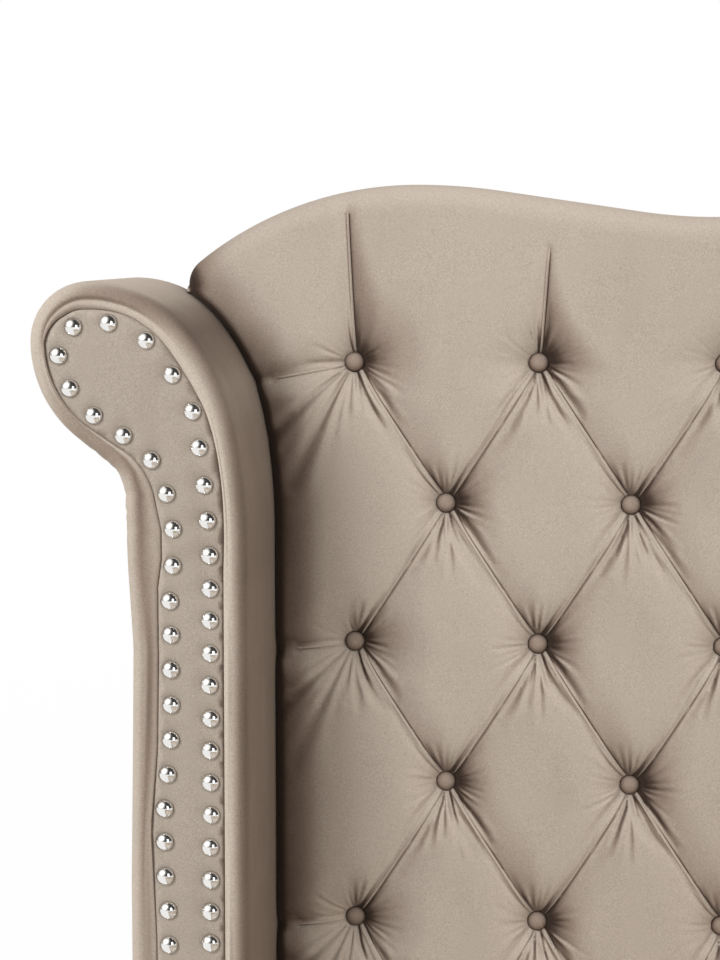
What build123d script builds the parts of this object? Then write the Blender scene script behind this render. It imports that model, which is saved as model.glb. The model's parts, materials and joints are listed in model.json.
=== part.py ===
from build123d import *
from math import atan2, cos, degrees, hypot, radians, sin
import os

os.makedirs("parts", exist_ok=True)

# The mattress that the frame holds, and the room left round it
mattress_width = 1350.0
mattress_length = 1900.0
mattress_side_gap = 6.0
mattress_end_gap = 10.0

# Overall heights
headboard_height = 1450.0
footboard_height = 400.0
rail_top_z = 340.0
rail_bottom_z = 110.0
slat_top_z = 270.0
glide_height = 15.0

# Clearances shared by the whole bed
seat_gap = 0.3
overrun = 5.0

# Headboard: its layers from the back to the front, and how far it runs out behind the wings
back_panel_t = 3.0
frame_t = 44.0
board_t = 12.0
pad_t = 60.0
wing_lap = 100.0
border_t = 6.0
headboard_bottom_z = 60.0
post_width = 45.0
cross_rail_height = 60.0
cross_rail_height_shares = (0.11, 0.33, 0.593)
top_rail_drop = 160.0

# Headboard's top line: a low middle crest, a dip each side of it, then a high shoulder
swoop_angle = 8.5
shoulder_angle = 38.5
crest_r = 894.0
dip_r = 581.0
shoulder_inner_r = 655.0
shoulder_outer_r = 399.0
corner_r = 34.2
top_roll = 24.0

# Wings: padded scrolls in front of the headboard's two ends
wing_reach = 180.0
wing_thickness = 121.0
wing_neck_bulge = 6.5
wing_neck_taper = 160.0
scroll_top_drop = 105.4
scroll_tip_r = 63.5
scroll_shoulder_r = 133.0
scroll_sweep_r = 251.0
scroll_long_r = 651.0
scroll_under_r = 128.0
scroll_neck_r = 51.0
scroll_shoulder_angle = 52.0
scroll_sweep_angle = 27.0
scroll_neck_angle = 52.0
wing_front_edge = 11.0
wing_back_edge = 8.0
facing_inset = 23.0
facing_depth = 11.0
facing_t = 9.0
facing_fit = 0.4
facing_edge = 3.5
band_inner_edge = 5.0

# Wing frames: two plywood ribs and the spreaders between them, sunk in the padding
wing_padding = 18.0
wing_skin = 4.0
rib_t = 15.0
spreader_width = 40.0
spreader_height = 30.0
spreader_height_shares = (0.041, 0.276, 0.51, 0.717)

# Nails round the wing facings: domed heads, made with a few flats
nail_inset = 36.5
nail_spacing = 36.0
nail_r = 9.5
nail_rise = 4.6
nail_crown_share = 0.56
nail_sides = 6

# Tufting: rows of buttons in a diamond grid, with a sewn pleat along each diagonal
button_pitch = 209.0
row_pitch = 160.0
first_row_drop = 201.0
foot_row_margin = 60.0
side_row_margin = 60.0
button_r = 11.5
button_rise = 8.0
button_shoulder_share = 0.72
button_shoulder_rise_share = 0.7
button_sides = 8
valley_depth = 13.0
valley_half_width = 38.0
crease_depth = 21.0
crease_half_width = 15.0
pleat_middle_share = 0.6
dimple_r = 27.0
dimple_depth = 31.0
dimple_fit = 0.6
top_pleat_margin = 55.0
pleat_end_share = 0.3

# Apron: the plain padded strip of the headboard under the tufting
apron_t = 12.0

# Side rails: a board in a padded sleeve
rail_board_t = 18.0
rail_inner_skin = 4.0
rail_outer_pad = 14.0
rail_edge_pad = 6.0
rail_outer_r = 11.0
rail_inner_r = 2.5

# Footboard: a board in a padded cover
footboard_t = 60.0
footboard_lap = 18.0
footboard_bottom_z = 100.0
footboard_board_t = 22.0
footboard_inner_pad = 12.0
footboard_edge_pad = 18.0
footboard_corner_r = 32.0
footboard_edge_r = 20.0
footboard_inner_edge = 6.0

# Feet under the footboard, and the glides under everything that stands
foot_top = 54.0
foot_bottom = 40.0
foot_corner_share = 0.24
foot_inset = 70.0
foot_glide_t = 4.0
foot_glide_inset = 5.0
glide_r = 14.0
glide_sides = 12

# Slat deck
slat_count = 14
slat_width = 72.0
slat_t = 16.0
slat_edge = 2.0
slat_end_gap = 2.0
slat_end_margin = 45.0
tape_width = 40.0
tape_t = 1.2
tape_share = 0.6
ledger_width = 30.0
ledger_height = 32.0
centre_rail_width = 45.0
centre_rail_height = 70.0
hanger_t = 3.0
hanger_depth = 40.0
hanger_height = 55.0
hanger_ear = 26.0

# Centre legs, each with a screw foot that levels it
centre_leg_shares = (0.2, 0.5, 0.8)
leg_width = 45.0
leg_edge = 3.0
leg_clear = 28.0
insert_r = 8.5
insert_length = 20.0
stem_r = 5.0
stem_gap = 0.3
stem_length = 44.0
stem_hole_depth = 60.0
nut_r = 9.5
nut_t = 6.0
screw_pad_r = 20.0
screw_pad_height = 9.0
screw_pad_sides = 12

# Corner brackets with their bolts, and the bolts that hold the wings
bracket_leg = 45.0
bracket_t = 3.0
bracket_height = 84.0
bracket_bottom_z = 126.0
bracket_bend_r = 4.0
bolt_r = 4.0
bolt_head_r = 7.5
bolt_head_t = 5.0
bolt_length = 18.0
bolt_gap = 0.3
hole_sides = 8
wing_bolt_height_shares = (0.286, 0.521, 0.728)
wing_bolt_seat_r = 12.0
wing_bolt_seat_depth = 8.0
wing_bolt_grip = 16.0

# Places that follow from the sizes: x is across the bed, y runs back to the headboard
rail_inner_x = mattress_width / 2 + mattress_side_gap
rail_t = rail_inner_skin + rail_board_t + rail_outer_pad
rail_outer_x = rail_inner_x + rail_t
wing_inner_x = rail_outer_x + seat_gap
headboard_half = wing_inner_x + wing_lap

bed_depth = (
    back_panel_t + frame_t + board_t + pad_t + mattress_end_gap + mattress_length + footboard_t
)
back_y = bed_depth / 2
frame_y = back_y - back_panel_t
board_y = frame_y - frame_t
pad_y = board_y - board_t
pad_front_y = pad_y - pad_t
apron_front_y = pad_y - apron_t
wing_front_y = pad_front_y - wing_reach
wing_depth = pad_y - wing_front_y
foot_front_y = -bed_depth / 2
foot_inner_y = foot_front_y + footboard_t

pad_bottom_z = rail_top_z + seat_gap
slat_bottom_z = slat_top_z - slat_t
centre_rail_bottom_z = slat_bottom_z - centre_rail_height
first_row_z = headboard_height - first_row_drop
row_count = 1 + int((first_row_z - pad_bottom_z - foot_row_margin) / row_pitch)
full_row_count = 1 + int(2 * (wing_inner_x - side_row_margin) / button_pitch)
top_rail_z = headboard_height - top_rail_drop
cross_rail_heights = [headboard_height * share for share in cross_rail_height_shares]
spreader_heights = [headboard_height * share for share in spreader_height_shares]
wing_bolt_heights = [headboard_height * share for share in wing_bolt_height_shares]


def facing(y):
    """An upright plane at y that faces the foot of the bed: x across, height up."""
    return Plane.XZ.offset(-y)


def level(z):
    """A flat plane at height z."""
    return Plane.XY.offset(z)


def headboard_line(inset, foot_z):
    """The headboard's outline on a flat plane, drawn from the top middle down its right side."""
    turn = radians(swoop_angle)
    fall_off = radians(shoulder_angle)
    arcs_reach = (crest_r + 2 * dip_r + shoulder_inner_r) * sin(turn)
    outer_reach = shoulder_outer_r * sin(fall_off) + corner_r * (1 - sin(fall_off))
    run = (headboard_half - arcs_reach - outer_reach) / cos(turn)
    crest_z = headboard_height + (crest_r - shoulder_inner_r) * (1 - cos(turn)) - run * sin(turn)
    with BuildLine(Plane.XY) as outline:
        crest = JernArc((0, crest_z - inset), (1, 0), crest_r - inset, -swoop_angle)
        dip = JernArc(crest @ 1, crest % 1, dip_r + inset, 2 * swoop_angle)
        rise = Line(dip @ 1, (dip @ 1) + (dip % 1) * run)
        inner = JernArc(rise @ 1, rise % 1, shoulder_inner_r - inset, -swoop_angle)
        outer = JernArc(inner @ 1, inner % 1, shoulder_outer_r - inset, -shoulder_angle)
        corner = JernArc(outer @ 1, outer % 1, corner_r - inset, shoulder_angle - 90)
        side = Line(corner @ 1, (headboard_half - inset, foot_z))
        Line(side @ 1, (0, foot_z))
        mirror(about=Plane.YZ)
    return outline.edges()


def wing_line(inset, foot_z):
    """The right wing's outline on a flat plane: inner foot, scroll, neck, outer foot."""
    long_angle = 90 - scroll_shoulder_angle - scroll_sweep_angle
    sweep_start = radians(long_angle)
    sweep_end = radians(long_angle + scroll_sweep_angle)
    neck = radians(90 - scroll_neck_angle)
    reach = (
        scroll_long_r * (1 - cos(sweep_start))
        + scroll_sweep_r * (cos(sweep_start) - cos(sweep_end))
        + scroll_shoulder_r * cos(sweep_end)
    )
    climb = (
        scroll_long_r * sin(sweep_start)
        + scroll_sweep_r * (sin(sweep_end) - sin(sweep_start))
        + scroll_shoulder_r * (1 - sin(sweep_end))
    )
    run_reach = (
        reach
        + scroll_tip_r
        - (scroll_under_r + scroll_neck_r) * (1 - sin(neck))
        - wing_thickness
        - wing_neck_bulge
    )
    inner_x = wing_inner_x + inset
    outer_x = wing_inner_x + wing_thickness - inset
    with BuildLine(Plane.XY) as outline:
        inner = Line((inner_x, foot_z), (inner_x, headboard_height - scroll_top_drop - climb))
        swell = JernArc(inner @ 1, inner % 1, scroll_long_r - inset, -long_angle)
        bow = JernArc(swell @ 1, swell % 1, scroll_sweep_r - inset, -scroll_sweep_angle)
        top = JernArc(bow @ 1, bow % 1, scroll_shoulder_r - inset, -scroll_shoulder_angle)
        tip = JernArc(top @ 1, top % 1, scroll_tip_r - inset, -90)
        under = JernArc(tip @ 1, tip % 1, scroll_under_r - inset, -scroll_neck_angle)
        run = Line(under @ 1, (under @ 1) + (under % 1) * (run_reach / cos(neck)))
        throat = JernArc(run @ 1, run % 1, scroll_neck_r + inset, scroll_neck_angle)
        taper = Line(throat @ 1, (outer_x, (throat @ 1).Y - wing_neck_taper))
        Line(taper @ 1, (outer_x, foot_z))
    return outline.edges()


def wing_section(inset, foot_z):
    """The wing's outline with its foot shut, ready to make a face of."""
    open_line = Wire(wing_line(inset, foot_z))
    return open_line.edges() + [Edge.make_line(open_line @ 1, open_line @ 0)]


def rims(edges, y, foot_z):
    """Those of the edges that lie at y, apart from the ones along the foot."""
    return (
        edges
        .filter_by(lambda edge: abs(edge.center().Y - y) < seat_gap)
        .filter_by(lambda edge: edge.bounding_box().size.Y < seat_gap)
        .filter_by(lambda edge: edge.center().Z > foot_z + seat_gap)
    )


def stacked_polygons(sides, levels):
    """A low solid of flats: one polygon for each radius and height, or a tip where r is 0."""
    points = []
    for radius, height in levels:
        for i in range(sides if radius else 1):
            turn = radians(360 / sides * i)
            points.append((radius * cos(turn), radius * sin(turn), height))
    return ConvexPolyhedron(points)


def bored(radius, mode=Mode.SUBTRACT):
    """The outline of a drilled hole, made with a few flats."""
    return RegularPolygon(radius, hole_sides, mode=mode)


# Buttons: rows of seven and six by turns, from the top row down
button_rows = []
for row in range(row_count):
    in_row = full_row_count - row % 2
    row_z = first_row_z - row * row_pitch
    first_x = -(in_row - 1) / 2 * button_pitch
    button_rows.append([(first_x + i * button_pitch, row_z) for i in range(in_row)])
button_places = [place for row in button_rows for place in row]


def furrow(length, near, far, half_width, depth):
    """A V-shaped cutter along +x that scales from its near end to its far end."""
    points = []
    for along, size in ((0, near), (length, far)):
        for across, rise in ((1, 1), (1, 0), (0, -1), (-1, 0), (-1, 1)):
            points.append((along, across * half_width * size, rise * depth * size))
    return ConvexPolyhedron(points)


def pleat(length, end_share):
    """A cutter for one pleat along +x: a soft valley with a sharp sewn crease along it."""
    half = length / 2
    with BuildPart() as cutter:
        for half_width, depth in (
            (valley_half_width, valley_depth),
            (crease_half_width, crease_depth),
        ):
            furrow(half, 1, pleat_middle_share, half_width, depth)
            with Locations((half, 0, 0)):
                furrow(half, pleat_middle_share, end_share, half_width, depth)
    return cutter.part


# Headboard, from the back to the front
bolt_x = headboard_half - border_t - post_width / 2
wing_bolt_places = [(side * bolt_x, z) for side in (-1, 1) for z in wing_bolt_heights]
post_inner_x = headboard_half - border_t - post_width
inner_outline = border_t + seat_gap

with BuildPart() as headboard_back_panel:
    with BuildSketch(facing(back_y)):
        make_face(headboard_line(inner_outline, headboard_bottom_z))
        with Locations(*wing_bolt_places):
            bored(wing_bolt_seat_r)
    extrude(amount=back_panel_t)
headboard_back_panel.part.label = "headboard_back_panel"
export_step(headboard_back_panel.part, "parts/headboard_back_panel.step")

for side, name in ((-1, "headboard_post_left"), (1, "headboard_post_right")):
    with BuildPart() as post:
        with BuildSketch(facing(frame_y)):
            make_face(headboard_line(inner_outline, glide_height))
            with Locations((side * (post_inner_x + post_width / 2), headboard_height / 2)):
                Rectangle(post_width, headboard_height, mode=Mode.INTERSECT)
        extrude(amount=frame_t)
        with BuildSketch(facing(frame_y)):
            with Locations(*[(side * bolt_x, z) for z in wing_bolt_heights]):
                bored(wing_bolt_seat_r, Mode.ADD)
        extrude(amount=wing_bolt_seat_depth, mode=Mode.SUBTRACT)
        with BuildSketch(facing(frame_y)):
            with Locations(*[(side * bolt_x, z) for z in wing_bolt_heights]):
                bored(bolt_r + bolt_gap, Mode.ADD)
        extrude(amount=frame_t, mode=Mode.SUBTRACT)
    post.part.label = name
    export_step(post.part, f"parts/{name}.step")

with BuildPart() as headboard_top_rail:
    with BuildSketch(facing(frame_y)):
        make_face(headboard_line(inner_outline, glide_height))
        with Locations((0, top_rail_z)):
            Rectangle(
                2 * post_inner_x,
                headboard_height,
                align=(Align.CENTER, Align.MIN),
                mode=Mode.INTERSECT,
            )
    extrude(amount=frame_t)
headboard_top_rail.part.label = "headboard_top_rail"
export_step(headboard_top_rail.part, "parts/headboard_top_rail.step")

with BuildPart() as headboard_cross_rails:
    with BuildSketch(facing(frame_y)):
        with Locations(*[(0, z) for z in cross_rail_heights]):
            Rectangle(2 * post_inner_x, cross_rail_height)
    extrude(amount=frame_t)
headboard_cross_rails.part.label = "headboard_cross_rails"
export_step(headboard_cross_rails.part, "parts/headboard_cross_rails.step")

bracket_z = bracket_bottom_z + bracket_height / 2
bracket_bolt_x = rail_inner_x - (bracket_leg + bracket_bend_r) / 2
head_bolt_places = [(side * bracket_bolt_x, bracket_z) for side in (-1, 1)]
face_bolt_bite = bolt_length - bracket_t - apron_t

with BuildPart() as headboard_board:
    with BuildSketch(facing(board_y)):
        make_face(headboard_line(inner_outline, headboard_bottom_z))
        with Locations(*wing_bolt_places):
            bored(bolt_r + bolt_gap)
    extrude(amount=board_t)
    with BuildSketch(facing(pad_y)):
        with Locations(*head_bolt_places):
            bored(bolt_r + bolt_gap, Mode.ADD)
    extrude(amount=-face_bolt_bite - seat_gap, mode=Mode.SUBTRACT)
headboard_board.part.label = "headboard_board"
export_step(headboard_board.part, "parts/headboard_board.step")

with BuildPart() as headboard_border:
    with BuildSketch(facing(back_y)):
        make_face(headboard_line(0, headboard_bottom_z))
        make_face(headboard_line(border_t, headboard_bottom_z - overrun), mode=Mode.SUBTRACT)
    extrude(amount=back_y - pad_y)
headboard_border.part.label = "headboard_border"
export_step(headboard_border.part, "parts/headboard_border.step")

# The tufted pad: rolled over at its top edge, cut round the wings, then pleated
step_x = button_pitch / 2
diagonal = hypot(step_x, row_pitch)
diagonal_turn = degrees(atan2(step_x, row_pitch))
last_row_z = button_rows[-1][0][1]
outer_button_x = button_rows[0][-1][0]
top_pleat = headboard_height - first_row_z - top_pleat_margin
edge_pleat = headboard_height - first_row_z + overrun
foot_pleat = last_row_z - pad_bottom_z + overrun
side_pleat = wing_inner_x - outer_button_x + overrun

falls_left = []
falls_right = []
for upper, lower in zip(button_rows[:-1], button_rows[1:]):
    lower_half = lower[-1][0] + seat_gap
    for x, z in upper:
        if x - step_x > -lower_half:
            falls_left.append(Location((x, z, 0), (0, 0, -90 - diagonal_turn)))
        if x + step_x < lower_half:
            falls_right.append(Location((x, z, 0), (0, 0, -90 + diagonal_turn)))
rises = [Location((x, z, 0), (0, 0, 90)) for x, z in button_rows[0][1:-1]]
edge_rises = [Location((x, z, 0), (0, 0, 90)) for x, z in button_rows[0][:: full_row_count - 1]]
drops = [Location((x, z, 0), (0, 0, -90)) for x, z in button_rows[-1]]
outwards = [
    Location((side * outer_button_x, row[0][1], 0), (0, 0, 90 - side * 90))
    for row in button_rows[::2]
    for side in (-1, 1)
]
pleats = [
    (pleat(diagonal, 1), falls_left + falls_right),
    (pleat(top_pleat, pleat_end_share), rises),
    (pleat(edge_pleat, pleat_end_share), edge_rises),
    (pleat(foot_pleat, pleat_middle_share), drops),
    (pleat(side_pleat, pleat_middle_share), outwards),
]

dimple = stacked_polygons(
    button_sides,
    ((button_r + dimple_fit, -dimple_depth), (dimple_r, 0), (dimple_r, overrun)),
)

with BuildPart(facing(pad_front_y)) as headboard_pad:
    with BuildSketch(facing(pad_y)):
        make_face(headboard_line(0, pad_bottom_z))
    extrude(amount=pad_t)
    chamfer(rims(headboard_pad.edges(), pad_front_y, pad_bottom_z), top_roll)
    with BuildSketch(facing(pad_y)):
        make_face(wing_section(-seat_gap, glide_height))
        mirror(about=Plane.YZ)
    extrude(amount=pad_t, mode=Mode.SUBTRACT)
    for cutter, places in pleats:
        with Locations(*places):
            add(cutter, mode=Mode.SUBTRACT)
    with Locations(*[Location((x, z, 0)) for x, z in button_places]):
        add(dimple, mode=Mode.SUBTRACT)
headboard_pad.part.label = "headboard_pad"
export_step(headboard_pad.part, "parts/headboard_pad.step")

# Covered buttons, each seated on the floor of its dimple
button = stacked_polygons(
    button_sides,
    (
        (button_r, 0),
        (button_r * button_shoulder_share, button_rise * button_shoulder_rise_share),
        (0, button_rise),
    ),
)
with BuildPart(facing(pad_front_y + dimple_depth)) as headboard_buttons:
    with Locations(*button_places):
        add(button)
headboard_buttons.part.label = "headboard_buttons"
export_step(headboard_buttons.part, "parts/headboard_buttons.step")

with BuildPart() as headboard_apron:
    with BuildSketch(facing(pad_y)):
        with Locations((0, headboard_bottom_z)):
            Rectangle(
                2 * (rail_inner_x - seat_gap),
                rail_top_z - headboard_bottom_z,
                align=(Align.CENTER, Align.MIN),
            )
        with Locations(*head_bolt_places):
            bored(bolt_r + bolt_gap)
    extrude(amount=apron_t)
headboard_apron.part.label = "headboard_apron"
export_step(headboard_apron.part, "parts/headboard_apron.step")

# Wings: the right one is drawn, and the left one is its mirror image
front_rib_y = wing_front_y + facing_depth + wing_skin + rib_t
back_rib_y = pad_y - wing_skin
rib_spacing = back_rib_y - front_rib_y
right_bolt_places = [(bolt_x, z) for z in wing_bolt_heights]

with BuildPart() as wing_frame_right:
    for rib_y in (front_rib_y, back_rib_y):
        with BuildSketch(facing(rib_y)):
            make_face(wing_section(wing_padding, glide_height))
        extrude(amount=rib_t)
    with BuildSketch(facing(back_rib_y)):
        with Locations(*[(wing_inner_x + wing_padding, z) for z in spreader_heights]):
            Rectangle(spreader_width, spreader_height, align=(Align.MIN, Align.CENTER))
    extrude(amount=rib_spacing)
    with BuildSketch(facing(pad_y)):
        with Locations(*right_bolt_places):
            bored(bolt_r + bolt_gap, Mode.ADD)
    extrude(amount=wing_bolt_grip, mode=Mode.SUBTRACT)
wing_frame_right.part.label = "wing_frame_right"
export_step(wing_frame_right.part, "parts/wing_frame_right.step")

with BuildPart() as wing_cover_right:
    with BuildSketch(facing(pad_y)):
        make_face(wing_section(0, glide_height))
    extrude(amount=wing_depth)
    chamfer(rims(wing_cover_right.edges(), wing_front_y, glide_height), wing_front_edge)
    chamfer(rims(wing_cover_right.edges(), pad_y, glide_height), wing_back_edge)
    with BuildSketch(facing(wing_front_y)):
        make_face(wing_section(facing_inset, glide_height))
    extrude(amount=-facing_depth, mode=Mode.SUBTRACT)
    mouth = wing_cover_right.edges(Select.LAST)
    chamfer(rims(mouth, wing_front_y, glide_height), band_inner_edge)
    add(wing_frame_right.part, mode=Mode.SUBTRACT)
    with BuildSketch(facing(pad_y)):
        with Locations(*right_bolt_places):
            bored(bolt_r + bolt_gap, Mode.ADD)
    extrude(amount=wing_bolt_grip, mode=Mode.SUBTRACT)
wing_cover_right.part.label = "wing_cover_right"
export_step(wing_cover_right.part, "parts/wing_cover_right.step")

facing_back_y = wing_front_y + facing_depth
facing_front_y = facing_back_y - facing_t
with BuildPart() as wing_facing_right:
    with BuildSketch(facing(facing_back_y)):
        make_face(wing_section(facing_inset + facing_fit, glide_height))
    extrude(amount=facing_t)
    chamfer(rims(wing_facing_right.edges(), facing_front_y, glide_height), facing_edge)
wing_facing_right.part.label = "wing_facing_right"
export_step(wing_facing_right.part, "parts/wing_facing_right.step")

# Nails: one row along the facing's edge, up one side, over the scroll and down the other
nail = stacked_polygons(
    nail_sides,
    (
        (nail_r, 0),
        (nail_r * nail_crown_share, nail_rise),
    ),
)
nail_line = Wire(wing_line(nail_inset, glide_height))
nail_count = round(nail_line.length / nail_spacing)
with BuildPart(facing(facing_front_y)) as wing_nails_right:
    with Locations(*[nail_line @ ((i + 0.5) / nail_count) for i in range(nail_count)]):
        add(nail)
wing_nails_right.part.label = "wing_nails_right"
export_step(wing_nails_right.part, "parts/wing_nails_right.step")

for right, name in (
    (wing_frame_right, "wing_frame_left"),
    (wing_cover_right, "wing_cover_left"),
    (wing_facing_right, "wing_facing_left"),
    (wing_nails_right, "wing_nails_left"),
):
    with BuildPart() as left_piece:
        mirror(right.part, about=Plane.YZ)
    left_piece.part.label = name
    export_step(left_piece.part, f"parts/{name}.step")


def bolt(length):
    """A hexagon-headed bolt along z: its head stands on z = 0 and its shank hangs below."""
    with BuildPart() as one_bolt:
        with BuildSketch():
            RegularPolygon(bolt_head_r, 6)
        extrude(amount=bolt_head_t)
        with BuildSketch():
            bored(bolt_r, Mode.ADD)
        extrude(amount=-length)
    return one_bolt.part


# Wing bolts: in from the back, through the post and the board, to the wing's back rib
wing_bolt_y = frame_y - wing_bolt_seat_depth
wing_bolt_length = wing_bolt_y - pad_y + wing_bolt_grip
wing_bolt = bolt(wing_bolt_length)
wing_bolt_plane = Plane(origin=(0, wing_bolt_y, 0), x_dir=(-1, 0, 0), z_dir=(0, 1, 0))
with BuildPart(wing_bolt_plane) as wing_bolts:
    with Locations(*wing_bolt_places):
        add(wing_bolt)
wing_bolts.part.label = "wing_bolts"
export_step(wing_bolts.part, "parts/wing_bolts.step")

# Side rails: a board inside a padded sleeve, with a ledger for the slats
rail_head_y = pad_y - seat_gap
rail_foot_y = foot_inner_y + seat_gap
rail_length = rail_head_y - rail_foot_y
rail_height = rail_top_z - rail_bottom_z
rail_middle_z = (rail_top_z + rail_bottom_z) / 2
board_middle_x = rail_inner_x + rail_inner_skin + rail_board_t / 2
head_bolt_y = apron_front_y - (bracket_leg + bracket_bend_r) / 2
foot_bolt_y = foot_inner_y + (bracket_leg + bracket_bend_r) / 2
rail_bolt_bite = bolt_length - bracket_t
rail_bolt_places = [(y, bracket_z) for y in (head_bolt_y, foot_bolt_y)]
rail_side = Plane(origin=(rail_inner_x, 0, 0), x_dir=(0, 1, 0), z_dir=(1, 0, 0))

with BuildPart() as side_rail_cover_right:
    with BuildSketch(facing(rail_head_y)):
        with Locations((rail_inner_x + rail_t / 2, rail_middle_z)):
            sleeve = Rectangle(rail_t, rail_height)
        corners = sleeve.vertices().group_by(Axis.X)
        fillet(corners[-1], rail_outer_r)
        fillet(corners[0], rail_inner_r)
        with Locations((board_middle_x, rail_middle_z)):
            Rectangle(rail_board_t, rail_height - 2 * rail_edge_pad, mode=Mode.SUBTRACT)
    extrude(amount=rail_length)
    with BuildSketch(rail_side):
        with Locations(*rail_bolt_places):
            bored(bolt_r + bolt_gap, Mode.ADD)
    extrude(amount=rail_inner_skin, mode=Mode.SUBTRACT)
side_rail_cover_right.part.label = "side_rail_cover_right"
export_step(side_rail_cover_right.part, "parts/side_rail_cover_right.step")

with BuildPart() as side_rail_board_right:
    with BuildSketch(facing(rail_head_y)):
        with Locations((board_middle_x, rail_middle_z)):
            Rectangle(rail_board_t, rail_height - 2 * rail_edge_pad)
    extrude(amount=rail_length)
    with BuildSketch(rail_side):
        with Locations(*rail_bolt_places):
            bored(bolt_r + bolt_gap, Mode.ADD)
    extrude(amount=rail_bolt_bite + seat_gap, mode=Mode.SUBTRACT)
side_rail_board_right.part.label = "side_rail_board_right"
export_step(side_rail_board_right.part, "parts/side_rail_board_right.step")

with BuildPart() as ledger_right:
    with BuildSketch(facing(apron_front_y - seat_gap)):
        with Locations((rail_inner_x, slat_bottom_z)):
            Rectangle(ledger_width, ledger_height, align=(Align.MAX, Align.MAX))
    extrude(amount=apron_front_y - seat_gap - rail_foot_y)
    chamfer(ledger_right.edges().filter_by(Axis.Y).group_by(Axis.X)[0], slat_edge)
ledger_right.part.label = "ledger_right"
export_step(ledger_right.part, "parts/ledger_right.step")

for right, name in (
    (side_rail_cover_right, "side_rail_cover_left"),
    (side_rail_board_right, "side_rail_board_left"),
    (ledger_right, "ledger_left"),
):
    with BuildPart() as left_piece:
        mirror(right.part, about=Plane.YZ)
    left_piece.part.label = name
    export_step(left_piece.part, f"parts/{name}.step")

# Footboard: a board inside a rounded padded cover
footboard_half = rail_outer_x + footboard_lap
footboard_rise = footboard_height - footboard_bottom_z
foot_bolt_bite = bolt_length - bracket_t - footboard_inner_pad
with BuildPart() as footboard_board:
    with BuildSketch(facing(foot_inner_y - footboard_inner_pad)):
        with Locations((0, footboard_bottom_z)):
            Rectangle(
                2 * (footboard_half - footboard_edge_pad),
                footboard_rise - footboard_edge_pad,
                align=(Align.CENTER, Align.MIN),
            )
    extrude(amount=footboard_board_t)
    with BuildSketch(facing(foot_inner_y - footboard_inner_pad)):
        with Locations(*head_bolt_places):
            bored(bolt_r + bolt_gap, Mode.ADD)
    extrude(amount=foot_bolt_bite + seat_gap, mode=Mode.SUBTRACT)
footboard_board.part.label = "footboard_board"
export_step(footboard_board.part, "parts/footboard_board.step")

with BuildPart() as footboard_cover:
    with BuildSketch(facing(foot_inner_y)):
        with Locations((0, footboard_bottom_z)):
            outline = Rectangle(
                2 * footboard_half, footboard_rise, align=(Align.CENTER, Align.MIN)
            )
        fillet(outline.vertices().group_by(Axis.Y)[-1], footboard_corner_r)
    extrude(amount=footboard_t)
    fillet(rims(footboard_cover.edges(), foot_front_y, footboard_bottom_z), footboard_edge_r)
    chamfer(rims(footboard_cover.edges(), foot_inner_y, footboard_bottom_z), footboard_inner_edge)
    with BuildSketch(facing(foot_inner_y - footboard_inner_pad)):
        with Locations((0, footboard_bottom_z)):
            Rectangle(
                2 * (footboard_half - footboard_edge_pad),
                footboard_rise - footboard_edge_pad,
                align=(Align.CENTER, Align.MIN),
            )
    extrude(amount=footboard_board_t, mode=Mode.SUBTRACT)
    with BuildSketch(facing(foot_inner_y)):
        with Locations(*head_bolt_places):
            bored(bolt_r + bolt_gap, Mode.ADD)
    extrude(amount=footboard_inner_pad, mode=Mode.SUBTRACT)
footboard_cover.part.label = "footboard_cover"
export_step(footboard_cover.part, "parts/footboard_cover.step")


def tapered_foot():
    """A square foot with its corners cut, narrower at the floor."""
    points = []
    for z, width in ((foot_glide_t, foot_bottom), (footboard_bottom_z, foot_top)):
        half = width / 2
        cut = half * (1 - foot_corner_share)
        for x_side in (-1, 1):
            for y_side in (-1, 1):
                points.append((x_side * half, y_side * cut, z))
                points.append((x_side * cut, y_side * half, z))
    return ConvexPolyhedron(points)


# Feet and glides
foot_x = footboard_half - foot_inset
foot_y = foot_front_y + footboard_t / 2
for side, name in ((-1, "foot_left"), (1, "foot_right")):
    with BuildPart() as foot:
        with Locations((side * foot_x, foot_y, 0)):
            tapered_foot()
    foot.part.label = name
    export_step(foot.part, f"parts/{name}.step")

with BuildPart() as foot_glides:
    with BuildSketch():
        with Locations((-foot_x, foot_y), (foot_x, foot_y)):
            Rectangle(foot_bottom - foot_glide_inset, foot_bottom - foot_glide_inset)
    extrude(amount=foot_glide_t)
foot_glides.part.label = "foot_glides"
export_step(foot_glides.part, "parts/foot_glides.step")

wing_middle_x = wing_inner_x + wing_thickness / 2
rib_middles = (front_rib_y - rib_t / 2, back_rib_y - rib_t / 2)
with BuildPart() as head_glides:
    with BuildSketch():
        for side in (-1, 1):
            with Locations(*[(side * wing_middle_x, y) for y in rib_middles]):
                RegularPolygon(glide_r, glide_sides)
            with Locations((side * bolt_x, frame_y - frame_t / 2)):
                RegularPolygon(glide_r, glide_sides)
    extrude(amount=glide_height)
head_glides.part.label = "head_glides"
export_step(head_glides.part, "parts/head_glides.step")

# Slat deck: slats on the ledgers and the centre rail, held in step by two tapes
first_slat_y = apron_front_y - slat_end_margin
last_slat_y = foot_inner_y + slat_end_margin
slat_step = (first_slat_y - last_slat_y) / (slat_count - 1)
slat_half = rail_inner_x - slat_end_gap
with BuildPart() as slats:
    with BuildSketch(level(slat_bottom_z)):
        with Locations(*[(0, last_slat_y + i * slat_step) for i in range(slat_count)]):
            Rectangle(2 * slat_half, slat_width)
    extrude(amount=slat_t)
    chamfer(slats.edges().filter_by(Axis.X).group_by(Axis.Z)[-1], slat_edge)
slats.part.label = "slats"
export_step(slats.part, "parts/slats.step")

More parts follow.
